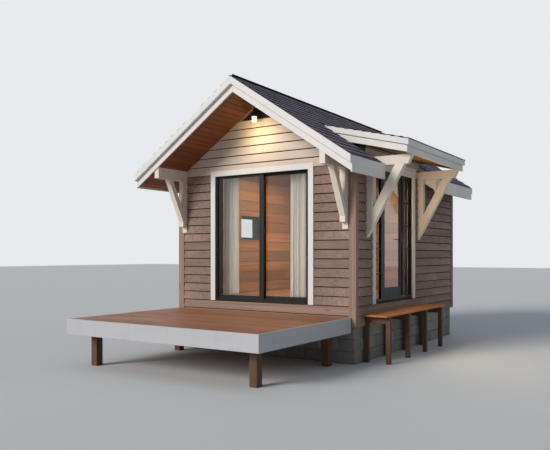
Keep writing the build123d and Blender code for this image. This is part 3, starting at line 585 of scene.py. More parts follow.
def stone_material(colour):
    """Rough-faced masonry blocks with mineral patches."""
    tree, shader = start_material("stone", "Plinth masonry")
    place = own_place(tree)
    weather = place_group(tree, "Weather", Vector=place)
    coarse = noise(tree, place, 22.0, 8.0, Roughness=0.7)
    base = mix_colour(tree, coarse, rgba(colour, 0.55), rgba(colour, 1.5))
    base = brighten(tree, base, board_tone(tree), 0.75, 1.25)
    base = tint(tree, base, weather["Patches"], 0.35, (0.20, 0.20, 0.15, 1.0))
    feed(tree, shader, {"Base Color": base, "Roughness": 0.9, "Normal": bump(tree, coarse, 0.9, 0.006)})


def coat_material(key, name, colour, metallic, rough):
    """Powder coat or satin metal with a faint texture and rubbed patches."""
    tree, shader = start_material(key, name)
    weather = place_group(tree, "Weather", Vector=own_place(tree))
    base = mix_colour(tree, weather["Patches"], rgba(colour, 0.85), rgba(colour, 1.5))
    inputs = {
        "Base Color": tint(tree, base, weather["Streaks"], 0.08, (0.05, 0.047, 0.045, 1.0)),
        "Roughness": remap(tree, weather["Patches"], 0.0, 1.0, rough - 0.06, rough + 0.1),
        "Metallic": metallic,
        "Specular IOR Level": 0.25,
        "Normal": bump(tree, weather["Specks"], 0.12, 0.0006),
    }
    feed(tree, shader, inputs)


def glass_material():
    """Clear pane glass with a little dust."""
    tree, shader = start_material("glass", "Pane glass")
    weather = place_group(tree, "Weather", Vector=own_place(tree))
    clean = (0.97, 0.985, 0.98, 1.0)
    inputs = {
        "Base Color": tint(tree, clean, weather["Patches"], 0.5, (0.9, 0.93, 0.92, 1.0)),
        "Roughness": remap(tree, weather["Streaks"], 0.0, 1.0, 0.0, 0.035),
        "Transmission Weight": 1.0,
        "IOR": 1.5,
    }
    feed(tree, shader, inputs)


def curtain_material(colour):
    """Linen: a plain weave in the cloth's own directions, slubs, and a soft sheen."""
    tree, shader = start_material("curtain", "Linen curtain")
    cloth = add_node(tree, "UVMap", uv_map="Cloth").outputs[0]
    parts = add_node(tree, "SeparateXYZ", {0: cloth}).outputs
    warp, weft = (maths(tree, "SINE", maths(tree, "MULTIPLY", parts[axis], 2600.0)) for axis in (0, 1))
    weave = maths(tree, "MULTIPLY", warp, weft)
    slubs = noise(tree, stretch(tree, cloth, (14.0, 190.0, 1.0)), 1.0, 3.0)
    # The base colour is paler than the linen, as painted light
    base = mix_colour(tree, slubs, rgba(colour, 0.8), rgba(colour, 1.2))
    inputs = {
        "Base Color": mix_colour(tree, remap(tree, weave, -1.0, 1.0, 0.0, 0.25), base, rgba(colour, 0.7)),
        "Roughness": 0.9,
        "Sheen Weight": 0.25,
        "Normal": bump(tree, maths(tree, "ADD", weave, slubs), 0.3, 0.0008),
    }
    feed(tree, shader, inputs)


def lamp_material(colour):
    """Frosted lamp glass, lit from inside, with a cloudy warm colour."""
    tree, shader = start_material("lamp", "Lit lamp glass")
    cloud = noise(tree, own_place(tree), 30.0, 2.0)
    glow = mix_colour(tree, cloud, rgba(colour), (1.0, 0.86, 0.6, 1.0))
    inputs = {"Emission Color": glow, "Base Color": glow, "Emission Strength": 1.3, "Roughness": 0.4}
    feed(tree, shader, inputs)


def build_materials(colours):
    """Build every finish of the cabin once."""
    build_grain_group()
    build_weather_group()
    weathered = {"rough": 0.7, "spread": 0.3, "dark": 0.4, "bleach": 0.14}
    paint = {"painted": True, "rough": 0.5, "spread": 0.02, "dark": 0.8}
    rim_paint = {"painted": True, "rough": 0.5, "spread": 0.03, "dark": 0.75}
    oiled = {"rough": 0.5, "spread": 0.3, "dark": 0.4}
    rough_sawn = {"rough": 0.75, "spread": 0.2}
    for key, name, colour, along, settings in (
        ("siding_x", "Stained siding across", colours.siding, "X", weathered),
        ("siding_y", "Stained siding along", colours.siding, "Y", weathered),
        # The near-black finish is painted shade for the gaps between boards and for recesses
        ("groove", "Siding grooves_painted_shade", colours.groove, "X", {"rough": 0.9, "spread": 0.0}),
        ("cream", "Cream gable boards", colours.cream, "X", {"painted": True, "spread": 0.05, "dark": 0.72}),
        ("corner", "Stained corner boards", colours.siding, "Z", {**weathered, "spread": 0.05, "dark": 0.45}),
        ("trim_x", "Trim paint across", colours.trim, "X", paint),
        ("trim_y", "Trim paint along", colours.trim, "Y", paint),
        ("casing", "Casing paint", colours.trim, "Z", paint),
        # This finish is off-white paint with warm lamp light painted into its colour
        ("bracket_warm_lit", "Bracket paint", colours.bracket_warm_lit, "Z", {**rim_paint, "rough": 0.55, "spread": 0.06}),
        ("soffit", "Oiled soffit boards", colours.soffit, "Y", {"rough": 0.5, "spread": 0.26}),
        ("lining_x", "Lining across", colours.lining, "X", oiled),
        ("lining_y", "Lining along", colours.lining, "Y", oiled),
        ("floor", "Cabin floorboards", colours.floor, "Y", {"rough": 0.4, "spread": 0.2}),
        ("deck", "Deck boards", colours.deck, "X", {"rough": 0.55, "spread": 0.26, "bleach": 0.12}),
        ("landing", "Landing boards", colours.landing, "Y", {"rough": 0.55, "spread": 0.2}),
        ("rim_x", "Deck rim across", colours.rim, "X", rim_paint),
        ("rim_y", "Deck rim along", colours.rim, "Y", rim_paint),
        ("framing", "Framing timber", colours.framing, "Y", rough_sawn),
        ("posts", "Post timber", colours.framing, "Z", rough_sawn),
    ):
        board_material(key, name, colour, along, **settings)
    shingle_material(colours.roof)
    stone_material(colours.stone)
    coat_material("door", "Door powder coat", colours.door, 0.0, 0.42)
    coat_material("black", "Satin black metal", colours.metal, 0.6, 0.35)
    glass_material()
    curtain_material(colours.curtain)
    lamp_material(colours.lamp)


# Fields of boards


def tapered_board(length, height, butt, tip):
    """A board along X: its back on Y 0, its face towards -Y, thinner at its upper edge."""
    piece = block("board", (0, -butt, 0), (length, 0, height))
    if tip < butt:
        select_where(piece, lambda v: v.co.z > height * 0.9 and v.co.y < -butt / 2, "VERT")
        bpy.ops.transform.translate(value=(0, butt - tip, 0))
        leave_edit()
    select_where(
        piece, lambda e: all(v.co.y < -butt * 0.9 and v.co.z < height * 0.1 for v in e.verts), "EDGE"
    )
    bpy.ops.mesh.bevel(offset=min(0.003, butt / 4), segments=2)
    leave_edit()
    return piece


def wall_place(x, y, z, degrees):
    """The place of a field of boards: its lower left corner and the way its face looks."""
    return Matrix.Translation((x, y, z)) @ Matrix.Rotation(math.radians(degrees), 4, "Z")


def trim_to_roof(piece, drop_by):
    """Cut a field of boards across the gable to lie under the roof's two slopes."""
    for side in (-1, 1):
        normal = Vector((side * math.sin(ROOF_PITCH), 0, math.cos(ROOF_PITCH)))
        trim_off(piece, (0, 0, soffit(0) - drop_by), normal)


def clad(name, finish, wall, levels, thick, seed, joints, opening, roof_gap):
    """Board a wall in courses, cut its opening, trim it to the roof and finish it.

    The wall is the x, y and angle of its left corner and its length. Levels are the lower and upper
    edge of each course, and thick is a board's thickness at these edges.
    """
    x, y, degrees, length = wall
    place = wall_place(x, y, 0, degrees)
    draw = random.Random(seed)
    boards = []
    for low, high in levels:
        ends = [0.0, length]
        if joints and length > LONGEST_BOARD:
            ends.insert(1, length * draw.uniform(0.2, 0.8))
        for start, end in zip(ends, ends[1:]):
            gap = BOARD_JOINT if joints else 0.0
            board = tapered_board(end - start - gap, high - low, *thick)
            shift = Matrix.Translation((start, draw.uniform(-0.001, 0.001), low))
            boards.append(bring(board, place @ shift, draw.random()))
    piece = join_as(name, boards)
    if opening:
        cut_opening(piece, *opening)
    if roof_gap:
        trim_to_roof(piece, roof_gap)
    return finish_piece(piece, finish)


def siding_levels(low, high, sizes):
    """The edges of the siding courses between two heights, counted down from the colour change."""
    half = sizes.siding_groove / 2
    levels = []
    row = math.ceil((COLOUR_CHANGE - low) / sizes.course)
    while COLOUR_CHANGE - row * sizes.course < high - 0.01:
        bottom = COLOUR_CHANGE - row * sizes.course
        top = bottom + sizes.course
        if top - low >= NARROWEST_COURSE:
            levels.append((low if bottom - low < NARROWEST_COURSE else bottom + half, top - half))
        row -= 1
    return levels


def lining_levels(course, last, top):
    """The edges of the lining's courses, from the floor until one would start above the last height."""
    levels = []
    level = FLOOR + LINING_FOOT
    while level < last:
        levels.append((level, min(level + course - LINING_GROOVE, top)))
        level += course
    return levels


def hole(around, axis, face, sides, foot, head):
    """The box that cuts an opening through a wall's face: a frame's box, made wider and higher."""
    low, high = Vector(around[0]), Vector(around[1])
    low[axis], high[axis] = face - 0.1, face + 0.1
    low[1 - axis] -= sides
    high[1 - axis] += sides
    low.z = foot
    high.z += head
    return low, high


def slope_place(height, pitch, side=1):
    """The place of a slope that falls from a height over the ridge line, on one side of it."""
    place = Matrix.Translation((0, 0, height)) @ Matrix.Rotation(pitch, 4, "Y")
    return place if side > 0 else HALF_TURN @ place


def seen_from(side, span):
    """A span along Y as the slope on one side of the ridge has it before its half turn."""
    return span if side > 0 else (-span[1], -span[0])


def boards_along(name, place, distances, span, seed, width, thick, gap=0.002, rounding=0.0025):
    """Copies of one board that runs along Y, side by side between two distances along X, faces at Z 0."""
    draw = random.Random(seed)
    near, far = distances
    count = max(1, round((far - near) / width))
    pitch = (far - near) / count
    board = block("board", (gap, span[0], -thick), (pitch - gap, span[1], 0))
    round_edges(board, rounding)
    boards = []
    for number in range(count):
        shift = Matrix.Translation((near + number * pitch, 0, 0))
        boards.append(bring(copy_as("board", board), place @ shift, draw.random()))
    discard(board)
    return join_as(name, boards)


class CABIN_OT_plinth(bpy.types.Operator):
    """Build the plinth from courses of rough masonry blocks"""

    bl_idname = "cabin.plinth"
    bl_label = "Plinth"

    def execute(self, context):
        draw = random.Random(11)
        rows = round(PLINTH_TOP / context.scene.cabin_sizes.block_height)
        height = PLINTH_TOP / rows
        low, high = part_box("plinth_ends")
        across = high.x - low.x
        along = high.y - low.y - 2 * BLOCK_DEPTH
        blocks = []
        cores = []
        for degrees, x, y, length in (
            (0, low.x, low.y, across),
            (0, low.x, high.y - BLOCK_DEPTH, across),
            (90, low.x + BLOCK_DEPTH, low.y + BLOCK_DEPTH, along),
            (90, high.x, low.y + BLOCK_DEPTH, along),
        ):
            count = round(length / BLOCK_LENGTH)
            for row in range(rows):
                place = wall_place(x, y, row * height, degrees)
                stagger = BLOCK_STAGGER if row % 2 else -BLOCK_STAGGER
                edges = [0.0]
                for number in range(1, count):
                    edges.append((number + stagger + draw.uniform(-0.06, 0.06)) * length / count)
                edges.append(length)
                for start, end in zip(edges, edges[1:]):
                    far = (end - start - BLOCK_JOINT, BLOCK_DEPTH - BLOCK_JOINT, height - BLOCK_JOINT)
                    shift = Matrix.Translation((start, draw.uniform(-0.003, 0.003), 0))
                    blocks.append(laid((BLOCK_JOINT,) * 3, far, place @ shift, draw.random(), 0.012, 2))
            far = (length, BLOCK_DEPTH - MORTAR_SETBACK, PLINTH_TOP)
            cores.append(laid((0, MORTAR_SETBACK, 0), far, wall_place(x, y, 0, degrees), 0.0))
        stood_for = ("plinth_ends", "plinth_sides")
        finish_piece(join_as("plinth_blocks", blocks), "stone", stood_for)
        finish_piece(join_as("plinth_mortar", cores), "stone")
        return {"FINISHED"}


class CABIN_OT_siding(bpy.types.Operator):
    """Clad the four walls with tapered boards, cut round the doors and the window"""

    bl_idname = "cabin.siding"
    bl_label = "Siding"

    def execute(self, context):
        sizes = context.scene.cabin_sizes
        thick = (sizes.siding_butt, sizes.siding_tip)
        lower = siding_levels(PLINTH_TOP, COLOUR_CHANGE, sizes)
        upper = siding_levels(COLOUR_CHANGE, soffit(0), sizes)
        side_top = soffit(HALF_WIDTH + thick[0]) - SIDING_GAP
        sides = [(low, min(high, side_top)) for low, high in lower]
        head_top = canopy_top(HALF_WIDTH + thick[0]) - CANOPY_DEPTH - SOFFIT_GAP
        head = [
            (low, min(high, head_top))
            for low, high in siding_levels(COLOUR_CHANGE, head_top, sizes)
            if head_top - low > 0.02
        ]
        foot = FLOOR - 0.03
        patio = hole(PATIO, 1, FRONT, PATIO_CASING, foot, PATIO_CASING)
        door = hole(SIDE_DOOR, 0, HALF_WIDTH, SIDE_CASING, foot, SIDE_HEAD_CASING)
        window = hole(WINDOW, 0, -HALF_WIDTH, 0, WINDOW[0].z, 0)
        across = HALF_WIDTH - CORNER_FACE
        start, end = FRONT + CORNER_SIDE, BACK - CORNER_SIDE
        whole, notch, gap = 2 * HALF_WIDTH, NOTCH_END - NOTCH_START, SIDING_GAP
        for name, finish, wall, levels, seed, joints, opening, roof_gap in (
            ("front", "siding_x", (-across, FRONT, 0, 2 * across), lower, 21, False, patio, None),
            ("gable", "cream", (-HALF_WIDTH, FRONT, 0, whole), upper, 21, False, patio, gap),
            ("back", "siding_x", (across, BACK, 180, 2 * across), lower, 23, True, None, None),
            ("back_gable", "cream", (HALF_WIDTH, BACK, 180, whole), upper, 23, True, None, gap),
            ("left", "siding_y", (-HALF_WIDTH, end, -90, end - start), sides, 25, True, window, None),
            ("right", "siding_y", (HALF_WIDTH, start, 90, end - start), sides, 27, True, door, None),
            ("door_head", "cream", (HALF_WIDTH, NOTCH_START, 90, notch), head, 29, False, door, None),
        ):
            piece = clad(f"{name}_siding", finish, wall, levels, thick, seed, joints, opening, roof_gap)
            if name == "gable":
                trim_off(piece, (0, 0, VENT_FOOT), (0, 0, 1))
        # The walls behind the boards take the near-black finish: painted shade in the gaps between courses
        paint_nodes("groove", "front_wall", "front_gable", "left_wall", "right_wall")
        paint_nodes("groove", "right_wall_head", "back_wall", "door_thresholds")
        return {"FINISHED"}


class CABIN_OT_vent(bpy.types.Operator):
    """Fill the peak of the front gable with dark vent slats between two thin rake strips"""

    bl_idname = "cabin.vent"
    bl_label = "Gable vent"

    def execute(self, context):
        half = (soffit(0) - VENT_FOOT) / math.tan(ROOF_PITCH)
        starts = [VENT_FOOT + row * VENT_COURSE for row in range(6)]
        levels = [(start + VENT_GAP, start + VENT_COURSE) for start in starts]
        wall, thick = (-half, FRONT, 0, 2 * half), (0.02, 0.006)
        # The vent slats take the near-black finish: painted shade in the gable's peak
        clad("gable_vent", "groove", wall, levels, thick, 37, False, None, SOFFIT_GAP)
        strips = []
        length = half / math.cos(ROOF_PITCH)
        peak = Matrix.Translation((0, FRONT, soffit(0) - SOFFIT_GAP))
        for side in (-1, 1):
            start, end = sorted((0, side * length))
            place = peak @ Matrix.Rotation(side * ROOF_PITCH, 4, "Y")
            strips.append(laid((start, -0.03, -0.036), (end, -0.002, 0), place, EVEN_TONE))
        strips = join_as("gable_vent_strips", strips)
        trim_off(strips, (0, 0, VENT_FOOT), (0, 0, -1))
        finish_piece(strips, "corner")
        return {"FINISHED"}


class CABIN_OT_lining(bpy.types.Operator):
    """Line the room with oiled boards, and lay its floor"""

    bl_idname = "cabin.lining"
    bl_label = "Lining"

    def execute(self, context):
        course = context.scene.cabin_sizes.lining_course
        top = soffit(HALF_INNER)
        sides = lining_levels(course, top - 0.03, top - 0.004)
        ends = lining_levels(course, soffit(0), math.inf)
        reach = HALF_INNER - LINING_THICK
        depth = BACK_INNER - FRONT_INNER
        foot = FLOOR - 0.1
        patio = hole(PATIO, 1, FRONT_INNER, 0, foot, 0)
        door = hole(SIDE_DOOR, 0, HALF_INNER, 0, foot, 0)
        sill = WINDOW[0].z + WINDOW_CASING
        window = hole(WINDOW, 0, -HALF_INNER, -WINDOW_CASING, sill, -WINDOW_CASING)
        for name, finish, wall, levels, seed, opening, roof_gap in (
            ("back", "lining_x", (-reach, BACK_INNER, 0, 2 * reach), ends, 31, None, SOFFIT_GAP),
            ("front", "lining_x", (reach, FRONT_INNER, 180, 2 * reach), ends, 32, patio, SOFFIT_GAP),
            ("left", "lining_y", (-HALF_INNER, FRONT_INNER, 90, depth), sides, 33, window, None),
            ("right", "lining_y", (HALF_INNER, BACK_INNER, -90, depth), sides, 34, door, None),
        ):
            thick = (LINING_THICK, LINING_THICK)
            clad(f"{name}_lining", finish, wall, levels, thick, seed, True, opening, roof_gap)
        place = Matrix.Translation((0, 0, FLOOR + FLOORBOARD_THICK))
        distances, span = (-HALF_INNER, HALF_INNER), (FRONT_INNER, BACK_INNER)
        floor = boards_along(
            "room_floorboards", place, distances, span, 35, FLOORBOARD, FLOORBOARD_THICK, 0.0008, 0.001
        )
        finish_piece(floor, "floor")
        paint_nodes("framing", "cabin_floor")
        return {"FINISHED"}


class CABIN_OT_soffits(bpy.types.Operator):
    """Board the undersides of the roof, the canopy and the ceiling of the room"""

    bl_idname = "cabin.soffits"
    bl_label = "Soffits"

    def execute(self, context):
        width = context.scene.cabin_sizes.soffit_board
        slope = math.cos(ROOF_PITCH)
        edge = ROOF_EDGE / slope
        wall = HALF_WIDTH / slope
        room = HALF_INNER / slope
        seed = 41
        for side, label in ((-1, "left"), (1, "right")):
            place = slope_place(soffit(0), ROOF_PITCH, side)
            beside = ((FRONT, BACK),)
            if side > 0:
                beside = ((FRONT, NOTCH_START - NOTCH_BOARD), (NOTCH_END + NOTCH_BOARD, BACK))
            fields = [(SOFFIT_GAP, (ROOF_FRONT, FRONT), seed), (SOFFIT_GAP, (BACK, ROOF_REAR), seed + 1)]
            fields += [(wall, span, seed + 5) for span in beside]
            parts = [
                boards_along("part", place, (start, edge), seen_from(side, span), number, width, SOFFIT_THICK)
                for start, span, number in fields
            ]
            finish_piece(join_as(f"soffit_{label}", parts), "soffit")
            span = seen_from(side, (FRONT_INNER, BACK_INNER))
            ceiling = boards_along(
                f"ceiling_{label}", place, (SOFFIT_GAP, room), span, seed + 7, width, SOFFIT_THICK
            )
            finish_piece(ceiling, "lining_y")
            seed += 10
        lean = math.cos(CANOPY_PITCH)
        place = slope_place(canopy_top(0) - CANOPY_DEPTH, CANOPY_PITCH)
        distances = ((HALF_WIDTH + 0.004) / lean, CANOPY_EDGE / lean)
        canopy = boards_along("soffit_canopy", place, distances, CANOPY_SPAN, 61, width, CANOPY_SOFFIT_THICK)
        finish_piece(canopy, "lining_y")
        return {"FINISHED"}


def lay_shingles(name, place, rows, seed, sizes):
    """Courses of shingles down a slope; each row is its distance down, its reach and its spans."""
    draw = random.Random(seed)
    thick = sizes.shingle_butt
    tilt = Matrix.Rotation(-thick / sizes.shingle_exposure, 4, "Y")
    shingles = []
    for down, reach, spans in rows:
        for start, end in spans:
            edge = start - sizes.shingle_width * draw.uniform(0.1, 0.9)
            while edge < end - NARROWEST_SHINGLE:
                step = sizes.shingle_width * draw.uniform(0.72, 1.28)
                low, high = max(edge, start), min(edge + step, end)
                edge += step
                if high - low < NARROWEST_SHINGLE:
                    continue
                tail = reach + SHINGLE_OVERLAP - draw.uniform(0.0, 0.006)
                lift = draw.uniform(0.0, 0.0015) - SHINGLE_SINK
                shift = Matrix.Translation((down - SHINGLE_OVERLAP, 0, lift))
                near, far = (0, low + 0.004, 0), (tail, high - 0.004, thick)
                shingles.append(laid(near, far, place @ shift @ tilt, draw.random(), 0.0012))
    return join_as(name, shingles)


def shingle_rows(down, end, exposure, change, spans, low_spans):
    """The courses of a slope between two distances; those that pass a third have other spans."""
    rows = []
    while down < end - 0.01:
        reach = min(exposure, end - down)
        rows.append((down, reach, low_spans if down + reach > change else spans))
        down += exposure
    return rows


class CABIN_OT_shingles(bpy.types.Operator):
    """Lay the shingles of the main roof and the canopy, and cap the ridge"""

    bl_idname = "cabin.shingles"
    bl_label = "Shingles"

    def execute(self, context):
        sizes = context.scene.cabin_sizes
        exposure = sizes.shingle_exposure
        slope_length = ROOF_EDGE / math.cos(ROOF_PITCH) + 0.055
        spring = CANOPY_SPRING / math.cos(ROOF_PITCH)
        verge = RAKE_BOARD - 0.012
        whole = (ROOF_FRONT - verge, ROOF_REAR + verge)
        near, far = CANOPY_SPAN[0] - CANOPY_BOARD, CANOPY_SPAN[1] + CANOPY_BOARD
        beside = ((whole[0], near - 0.002), (far + 0.002, whole[1]))
        for side, label in ((-1, "left"), (1, "right")):
            place = slope_place(RIDGE, ROOF_PITCH, side)
            spans = (seen_from(side, whole),)
            low_spans = beside if side > 0 else spans
            rows = shingle_rows(STARTER_COURSE, slope_length, exposure, spring, spans, low_spans)
            rows.insert(0, (0.0, STARTER_COURSE, spans))
            piece = lay_shingles(f"shingles_{label}", place, rows, 70 + side, sizes)
            finish_piece(piece, "roof")
        lean = math.cos(CANOPY_PITCH)
        start, end = CANOPY_SPRING / lean, (CANOPY_EDGE + CANOPY_BOARD + 0.01) / lean
        spans = ((near - 0.006, far + 0.006),)
        rows = shingle_rows(start, end, exposure, end, spans, spans)
        piece = lay_shingles("shingles_canopy", slope_place(canopy_top(0), CANOPY_PITCH), rows, 75, sizes)
        into_roof = (-math.sin(ROOF_PITCH), 0, -math.cos(ROOF_PITCH))
        trim_off(piece, (CANOPY_SPRING, 0, roof_top(CANOPY_SPRING)), into_roof)
        finish_piece(piece, "roof")
        caps = []
        draw = random.Random(79)
        start = whole[0]
        while start < whole[1] - 0.02:
            end = min(start + CAP_EXPOSURE, whole[1])
            on_ridge = Matrix.Translation((0, start, RIDGE + CAP_LIFT))
            for side in (-1, 1):
                place = Matrix.Rotation(ROOF_PITCH, 4, "Y")
                if side < 0:
                    place = Matrix.Translation((0, end - start, 0)) @ HALF_TURN @ place
                far = (CAP_WIDTH, end - start - 0.002, CAP_THICK)
                caps.append(laid((0, 0, 0), far, on_ridge @ place, draw.random(), 0.0012))
            start = end
        finish_piece(join_as("ridge_shingles", caps), "roof", ("ridge_cap",))
        paint_nodes("roof", "roof_left", "roof_right", "canopy_roof")
        return {"FINISHED"}


class CABIN_OT_trim(bpy.types.Operator):
    """Round and paint the bargeboards, eave boards, casings, corner boards and cheeks"""

    bl_idname = "cabin.trim"
    bl_label = "Trim"

    def execute(self, context):
        width = context.scene.cabin_sizes.edge_round
        for node, slot, finish in (
            ("bargeboards_left", "trim", "trim_x"),
            ("bargeboards_right", "trim", "trim_x"),
            ("eave_boards", "trim", "trim_y"),
            ("canopy_side_boards", "trim", "trim_x"),
            ("notch_boards", "trim", "bracket_warm_lit"),
            # The canopy cheeks take the near-black finish: painted shade under the canopy
            ("canopy_cheeks", "roofing", "groove"),
            ("door_casings", "trim", "casing"),
            ("corner_boards", "corner_trim", "corner"),
        ):
            plane_node(node, finish, width)
        return {"FINISHED"}


class CABIN_OT_brackets(bpy.types.Operator):
    """Round and paint the posts, beams and struts of the brackets"""

    bl_idname = "cabin.brackets"
    bl_label = "Brackets"

    def execute(self, context):
        width = context.scene.cabin_sizes.edge_round
        for seed, node in ((80, "bracket_posts"), (81, "bracket_struts"), (82, "bracket_beams")):
            plane_node(node, "bracket_warm_lit", width, tones=(1, 0.9, -1.05, seed))
        return {"FINISHED"}


class CABIN_OT_doors(bpy.types.Operator):
    """Finish the patio door and the side door, with their glass and ironmongery"""

    bl_idname = "cabin.doors"
    bl_label = "Doors"

    def execute(self, context):
        for node, body, slot, finish, width in (
            ("patio_frame", "cabin", "door_metal", "door", 0.002),
            ("patio_fixed_panel", "cabin", "door_metal", "door", 0.002),
            ("patio_sliding_panel", "sliding_panel", "door_metal", "door", 0.002),
            ("patio_pull", "sliding_panel", "dark_metal", "black", 0.003),
            ("side_door_frame", "cabin", "door_metal", "door", 0.002),
            ("side_frame_trim", "cabin", "door_metal", "door", 0.0015),
            ("side_door_leaf", "side_door", "door_metal", "door", 0.002),
            ("side_door_handle", "side_door", "dark_metal", "black", 0.003),
            ("side_door_hinges", "cabin", "dark_metal", "black", 0.001),
        ):
            plane_node(node, finish, width, body, "finished")
        paint_nodes("glass", "fixed_glass", "patio_sliding_glass", "side_door_glass")
        return {"FINISHED"}


class CABIN_OT_window(bpy.types.Operator):
    """Finish the window frame"""

    bl_idname = "cabin.window"
    bl_label = "Window"

    def execute(self, context):
        plane_node("window_frame", "door", 0.003)
        return {"FINISHED"}


class CABIN_OT_deck(bpy.types.Operator):
    """Finish the deck and the landing, with their boards, rims and framing"""

    bl_idname = "cabin.deck"
    bl_label = "Deck and landing"

    def execute(self, context):
        for node, finish, axis, count, gap, seed in (
            ("deck_boards", "deck", 1, DECK_BOARDS, DECK_GAP, 91),
            ("landing_deck", "landing", 0, LANDING_BOARDS, LANDING_GAP, 92),
        ):
            low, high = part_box(node)
            tones = (axis, (high[axis] - low[axis] + gap) / count, low[axis] - gap / 2, seed)
            plane_node(node, finish, 0.003, tones=tones)
        for node, slot, finish, width in (
            ("deck_rim_front", "deck_rim", "rim_x", 0.004),
            ("deck_rim_sides", "deck_rim", "rim_y", 0.004),
            ("deck_joists", "framing", "framing", 0.002),
            ("deck_girders", "framing", "framing", 0.003),
            ("deck_posts", "framing", "posts", 0.006),
            ("landing_trestles", "framing", "posts", 0.003),
        ):
            plane_node(node, finish, width)
        return {"FINISHED"}


def hang_curtain(name, left, width, fold, draw):
    """Hang one gathered curtain, made as a grid that is laid in folds and given its thickness."""
    low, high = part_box("curtains")
    middle = (low.y + high.y) / 2
    drop = high.z - low.z
    folds = round(width / fold)
    steps = folds * FOLD_STEPS
    phase = draw.uniform(0.2, 0.5)
    sways = [draw.uniform(-1, 1) for _ in range(3)]

    def cloth_point(across, down):
        """A point of the cloth, by its share of the width and of the drop."""
        turn = across * folds * 2 * math.pi
        loose = 0.7 + 0.3 * down
        uneven = 1 + 0.12 * math.sin(across * 9 + sways[0] * 3)
        ripple = 0.78 * math.sin(turn + phase * down) + 0.3 * math.sin(2.7 * turn + sways[1])
        x = left + width * across + 0.006 * math.sin(2 * turn + down * sways[1])
        x += 0.008 * down * math.sin(3 * across + sways[2] * 2)
        return Vector((x, middle + FOLD_DEPTH * loose * uneven * ripple, high.z - drop * down))

    clear_selection()
    bpy.ops.mesh.primitive_grid_add(x_subdivisions=steps, y_subdivisions=DROP_STEPS, size=1)
    piece = bpy.context.object
    piece.name = name
    layer = piece.data.uv_layers.new(name="Cloth")
    line = [cloth_point(step / steps, 0.5) for step in range(steps + 1)]
    sheet_width = sum((end - start).length for start, end in zip(line, line[1:]))
    for loop in piece.data.loops:
        spot = piece.data.vertices[loop.vertex_index].co
        layer.data[loop.index].uv = ((spot.x + 0.5) * sheet_width, (0.5 - spot.y) * drop)
    for vertex in piece.data.vertices:
        vertex.co = cloth_point(vertex.co.x + 0.5, 0.5 - vertex.co.y)
    bpy.ops.object.shade_smooth()
    cloth = piece.modifiers.new("Cloth thickness", "SOLIDIFY")
    cloth.thickness = CLOTH_THICK
    cloth.offset = 0
    bpy.ops.object.modifier_apply(modifier=cloth.name)
    finish_piece(piece, "curtain", ("curtains",))


class CABIN_OT_curtains(bpy.types.Operator):
    """Hang the two gathered curtains on their rod"""

    bl_idname = "cabin.curtains"
    bl_label = "Curtains"

    def execute(self, context):
        fold = context.scene.cabin_sizes.curtain_fold
        low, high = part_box("curtains")
        draw = random.Random(101)
        hang_curtain("curtain_left", low.x, LEFT_CURTAIN, fold, draw)
        hang_curtain("curtain_right", high.x - RIGHT_CURTAIN, RIGHT_CURTAIN, fold, draw)
        paint_nodes("black", "curtain_rod")
        return {"FINISHED"}


class CABIN_OT_lamp(bpy.types.Operator):
    """Finish the gable lamp"""

    bl_idname = "cabin.lamp"
    bl_label = "Gable lamp"

    def execute(self, context):
        plane_node("gable_lamp", "black", 0.001, suffix="finished")
        paint_nodes("lamp", "lamp_glass")
        return {"FINISHED"}


def add_light(name, kind, place, aim, energy, colour, **settings):
    """Add a light that points from its place to what it lights."""
    data = bpy.data.lights.new(name, kind)
    data.energy = energy
    data.color = colour
    for key, value in settings.items():
        setattr(data, key, value)
    light = bpy.data.objects.new(name, data)
    bpy.context.scene.collection.objects.link(light)
    light.location = place
    light.rotation_euler = (Vector(aim) - Vector(place)).to_track_quat("-Z", "Y").to_euler()
    return light


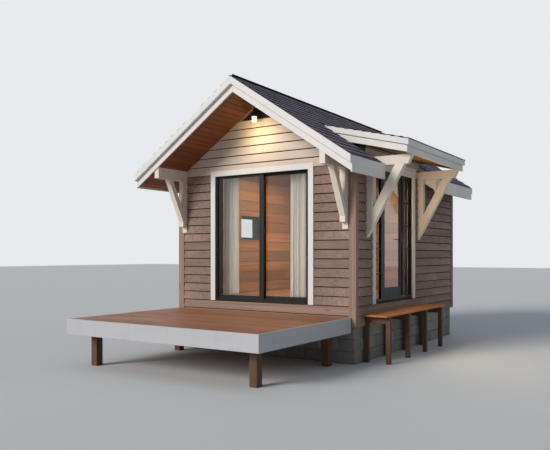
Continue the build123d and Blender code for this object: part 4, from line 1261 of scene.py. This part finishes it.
class CABIN_OT_stage(bpy.types.Operator):
    """Set the camera, the floor, the backdrop and the lights"""

    bl_idname = "cabin.stage"
    bl_label = "Stage"

    def execute(self, context):
        scene = context.scene
        camera_data = bpy.data.cameras.new("Camera")
        camera_data.lens = 42.25
        camera_data.sensor_width = 36
        camera_data.shift_y = 0.0539
        camera = bpy.data.objects.new("Camera", camera_data)
        scene.collection.objects.link(camera)
        camera.location = (6.401, -9.388, 1.753)
        camera.rotation_euler = (math.radians(90), 0, math.radians(33.4))
        scene.camera = camera

        clear_selection()
        bpy.ops.mesh.primitive_plane_add(size=160)
        floor = bpy.context.object
        floor.name = "studio_floor"
        tree, shader = start_material("studio", "Studio floor")
        feed(tree, shader, {"Base Color": (0.72, 0.72, 0.71, 1.0), "Roughness": 0.9})
        floor.data.materials.append(MATERIALS["studio"])

        world = bpy.data.worlds.new("Studio")
        scene.world = world
        world.use_nodes = True
        tree = world.node_tree
        backdrop = tree.nodes["Background"]
        feed(tree, backdrop, {"Color": (0.80, 0.82, 0.84, 1.0), "Strength": 1.0})
        path = add_node(tree, "LightPath").outputs
        seen = maths(tree, "MAXIMUM", path["Is Camera Ray"], path["Is Glossy Ray"])
        seen = maths(tree, "MAXIMUM", seen, path["Is Transmission Ray"])
        sky = add_node(tree, "Background", {"Color": (0.70, 0.83, 1.0, 1.0), "Strength": 0.30})
        mixed = add_node(tree, "MixShader", {0: seen, 1: sky.outputs[0], 2: backdrop.outputs[0]})
        tree.links.new(mixed.outputs[0], tree.nodes["World Output"].inputs["Surface"])

        sun = (1.0, 0.97, 0.93)
        add_light("Key", "SUN", (-5, -12, 8), (0, 1, 2), 2.5, sun, angle=math.radians(25))
        add_light("Room light", "AREA", (0, 2.2, 3.55), (0, 2.2, 0), 150, WARM, size=1.6)
        doorway = (HALF_WIDTH + 0.02, (SIDE_DOOR[0].y + SIDE_DOOR[1].y) / 2, 2.4)
        outside = (3, doorway[1] + 0.3, 2.3)
        shape = {"shape": "RECTANGLE", "size": 1.5, "size_y": 1.3}
        door_light = add_light("Door light", "AREA", doorway, outside, 30, WARM, **shape)
        door_light.visible_camera = door_light.visible_glossy = False
        door_light.visible_transmission = False
        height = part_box("lamp_glass")[0].z
        spot = {"shadow_soft_size": 0.1, "spot_size": math.radians(150), "spot_blend": 1.0}
        start, end = (0, FRONT - 0.45, height - 0.12), (0.03, FRONT, height - 0.2)
        add_light("Lamp light", "SPOT", start, end, 14, (1.0, 0.76, 0.40), **spot)
        return {"FINISHED"}


OPERATORS = (
    CABIN_OT_stage,
    CABIN_OT_plinth,
    CABIN_OT_siding,
    CABIN_OT_vent,
    CABIN_OT_lining,
    CABIN_OT_soffits,
    CABIN_OT_shingles,
    CABIN_OT_trim,
    CABIN_OT_brackets,
    CABIN_OT_doors,
    CABIN_OT_window,
    CABIN_OT_deck,
    CABIN_OT_curtains,
    CABIN_OT_lamp,
)


class CABIN_PT_pieces(bpy.types.Panel):
    """The cabin's pieces, one button each."""

    bl_idname = "CABIN_PT_pieces"
    bl_label = "Timber cabin"
    bl_space_type = "VIEW_3D"
    bl_region_type = "UI"
    bl_category = "Cabin"

    def draw(self, context):
        for operator in OPERATORS:
            self.layout.operator(operator.bl_idname)
        for group in (context.scene.cabin_sizes, context.scene.cabin_colours):
            for name in group.bl_rna.properties.keys():
                if name not in ("rna_type", "name"):
                    self.layout.prop(group, name)


CLASSES = (CabinSizes, CabinColours, *OPERATORS, CABIN_PT_pieces)


def register():
    """Register the settings, operators and panel."""
    for made in CLASSES:
        bpy.utils.register_class(made)
    bpy.types.Scene.cabin_sizes = bpy.props.PointerProperty(type=CabinSizes)
    bpy.types.Scene.cabin_colours = bpy.props.PointerProperty(type=CabinColours)


def unregister():
    """Remove the settings, operators and panel."""
    del bpy.types.Scene.cabin_colours
    del bpy.types.Scene.cabin_sizes
    for made in reversed(CLASSES):
        bpy.utils.unregister_class(made)


def main():
    """Build the whole scene."""
    register()
    scene = bpy.context.scene
    scene.view_settings.view_transform = "Standard"
    build_materials(scene.cabin_colours)
    for operator in OPERATORS:
        group, name = operator.bl_idname.split(".")
        getattr(getattr(bpy.ops, group), name)()


if __name__ == "__main__":
    main()
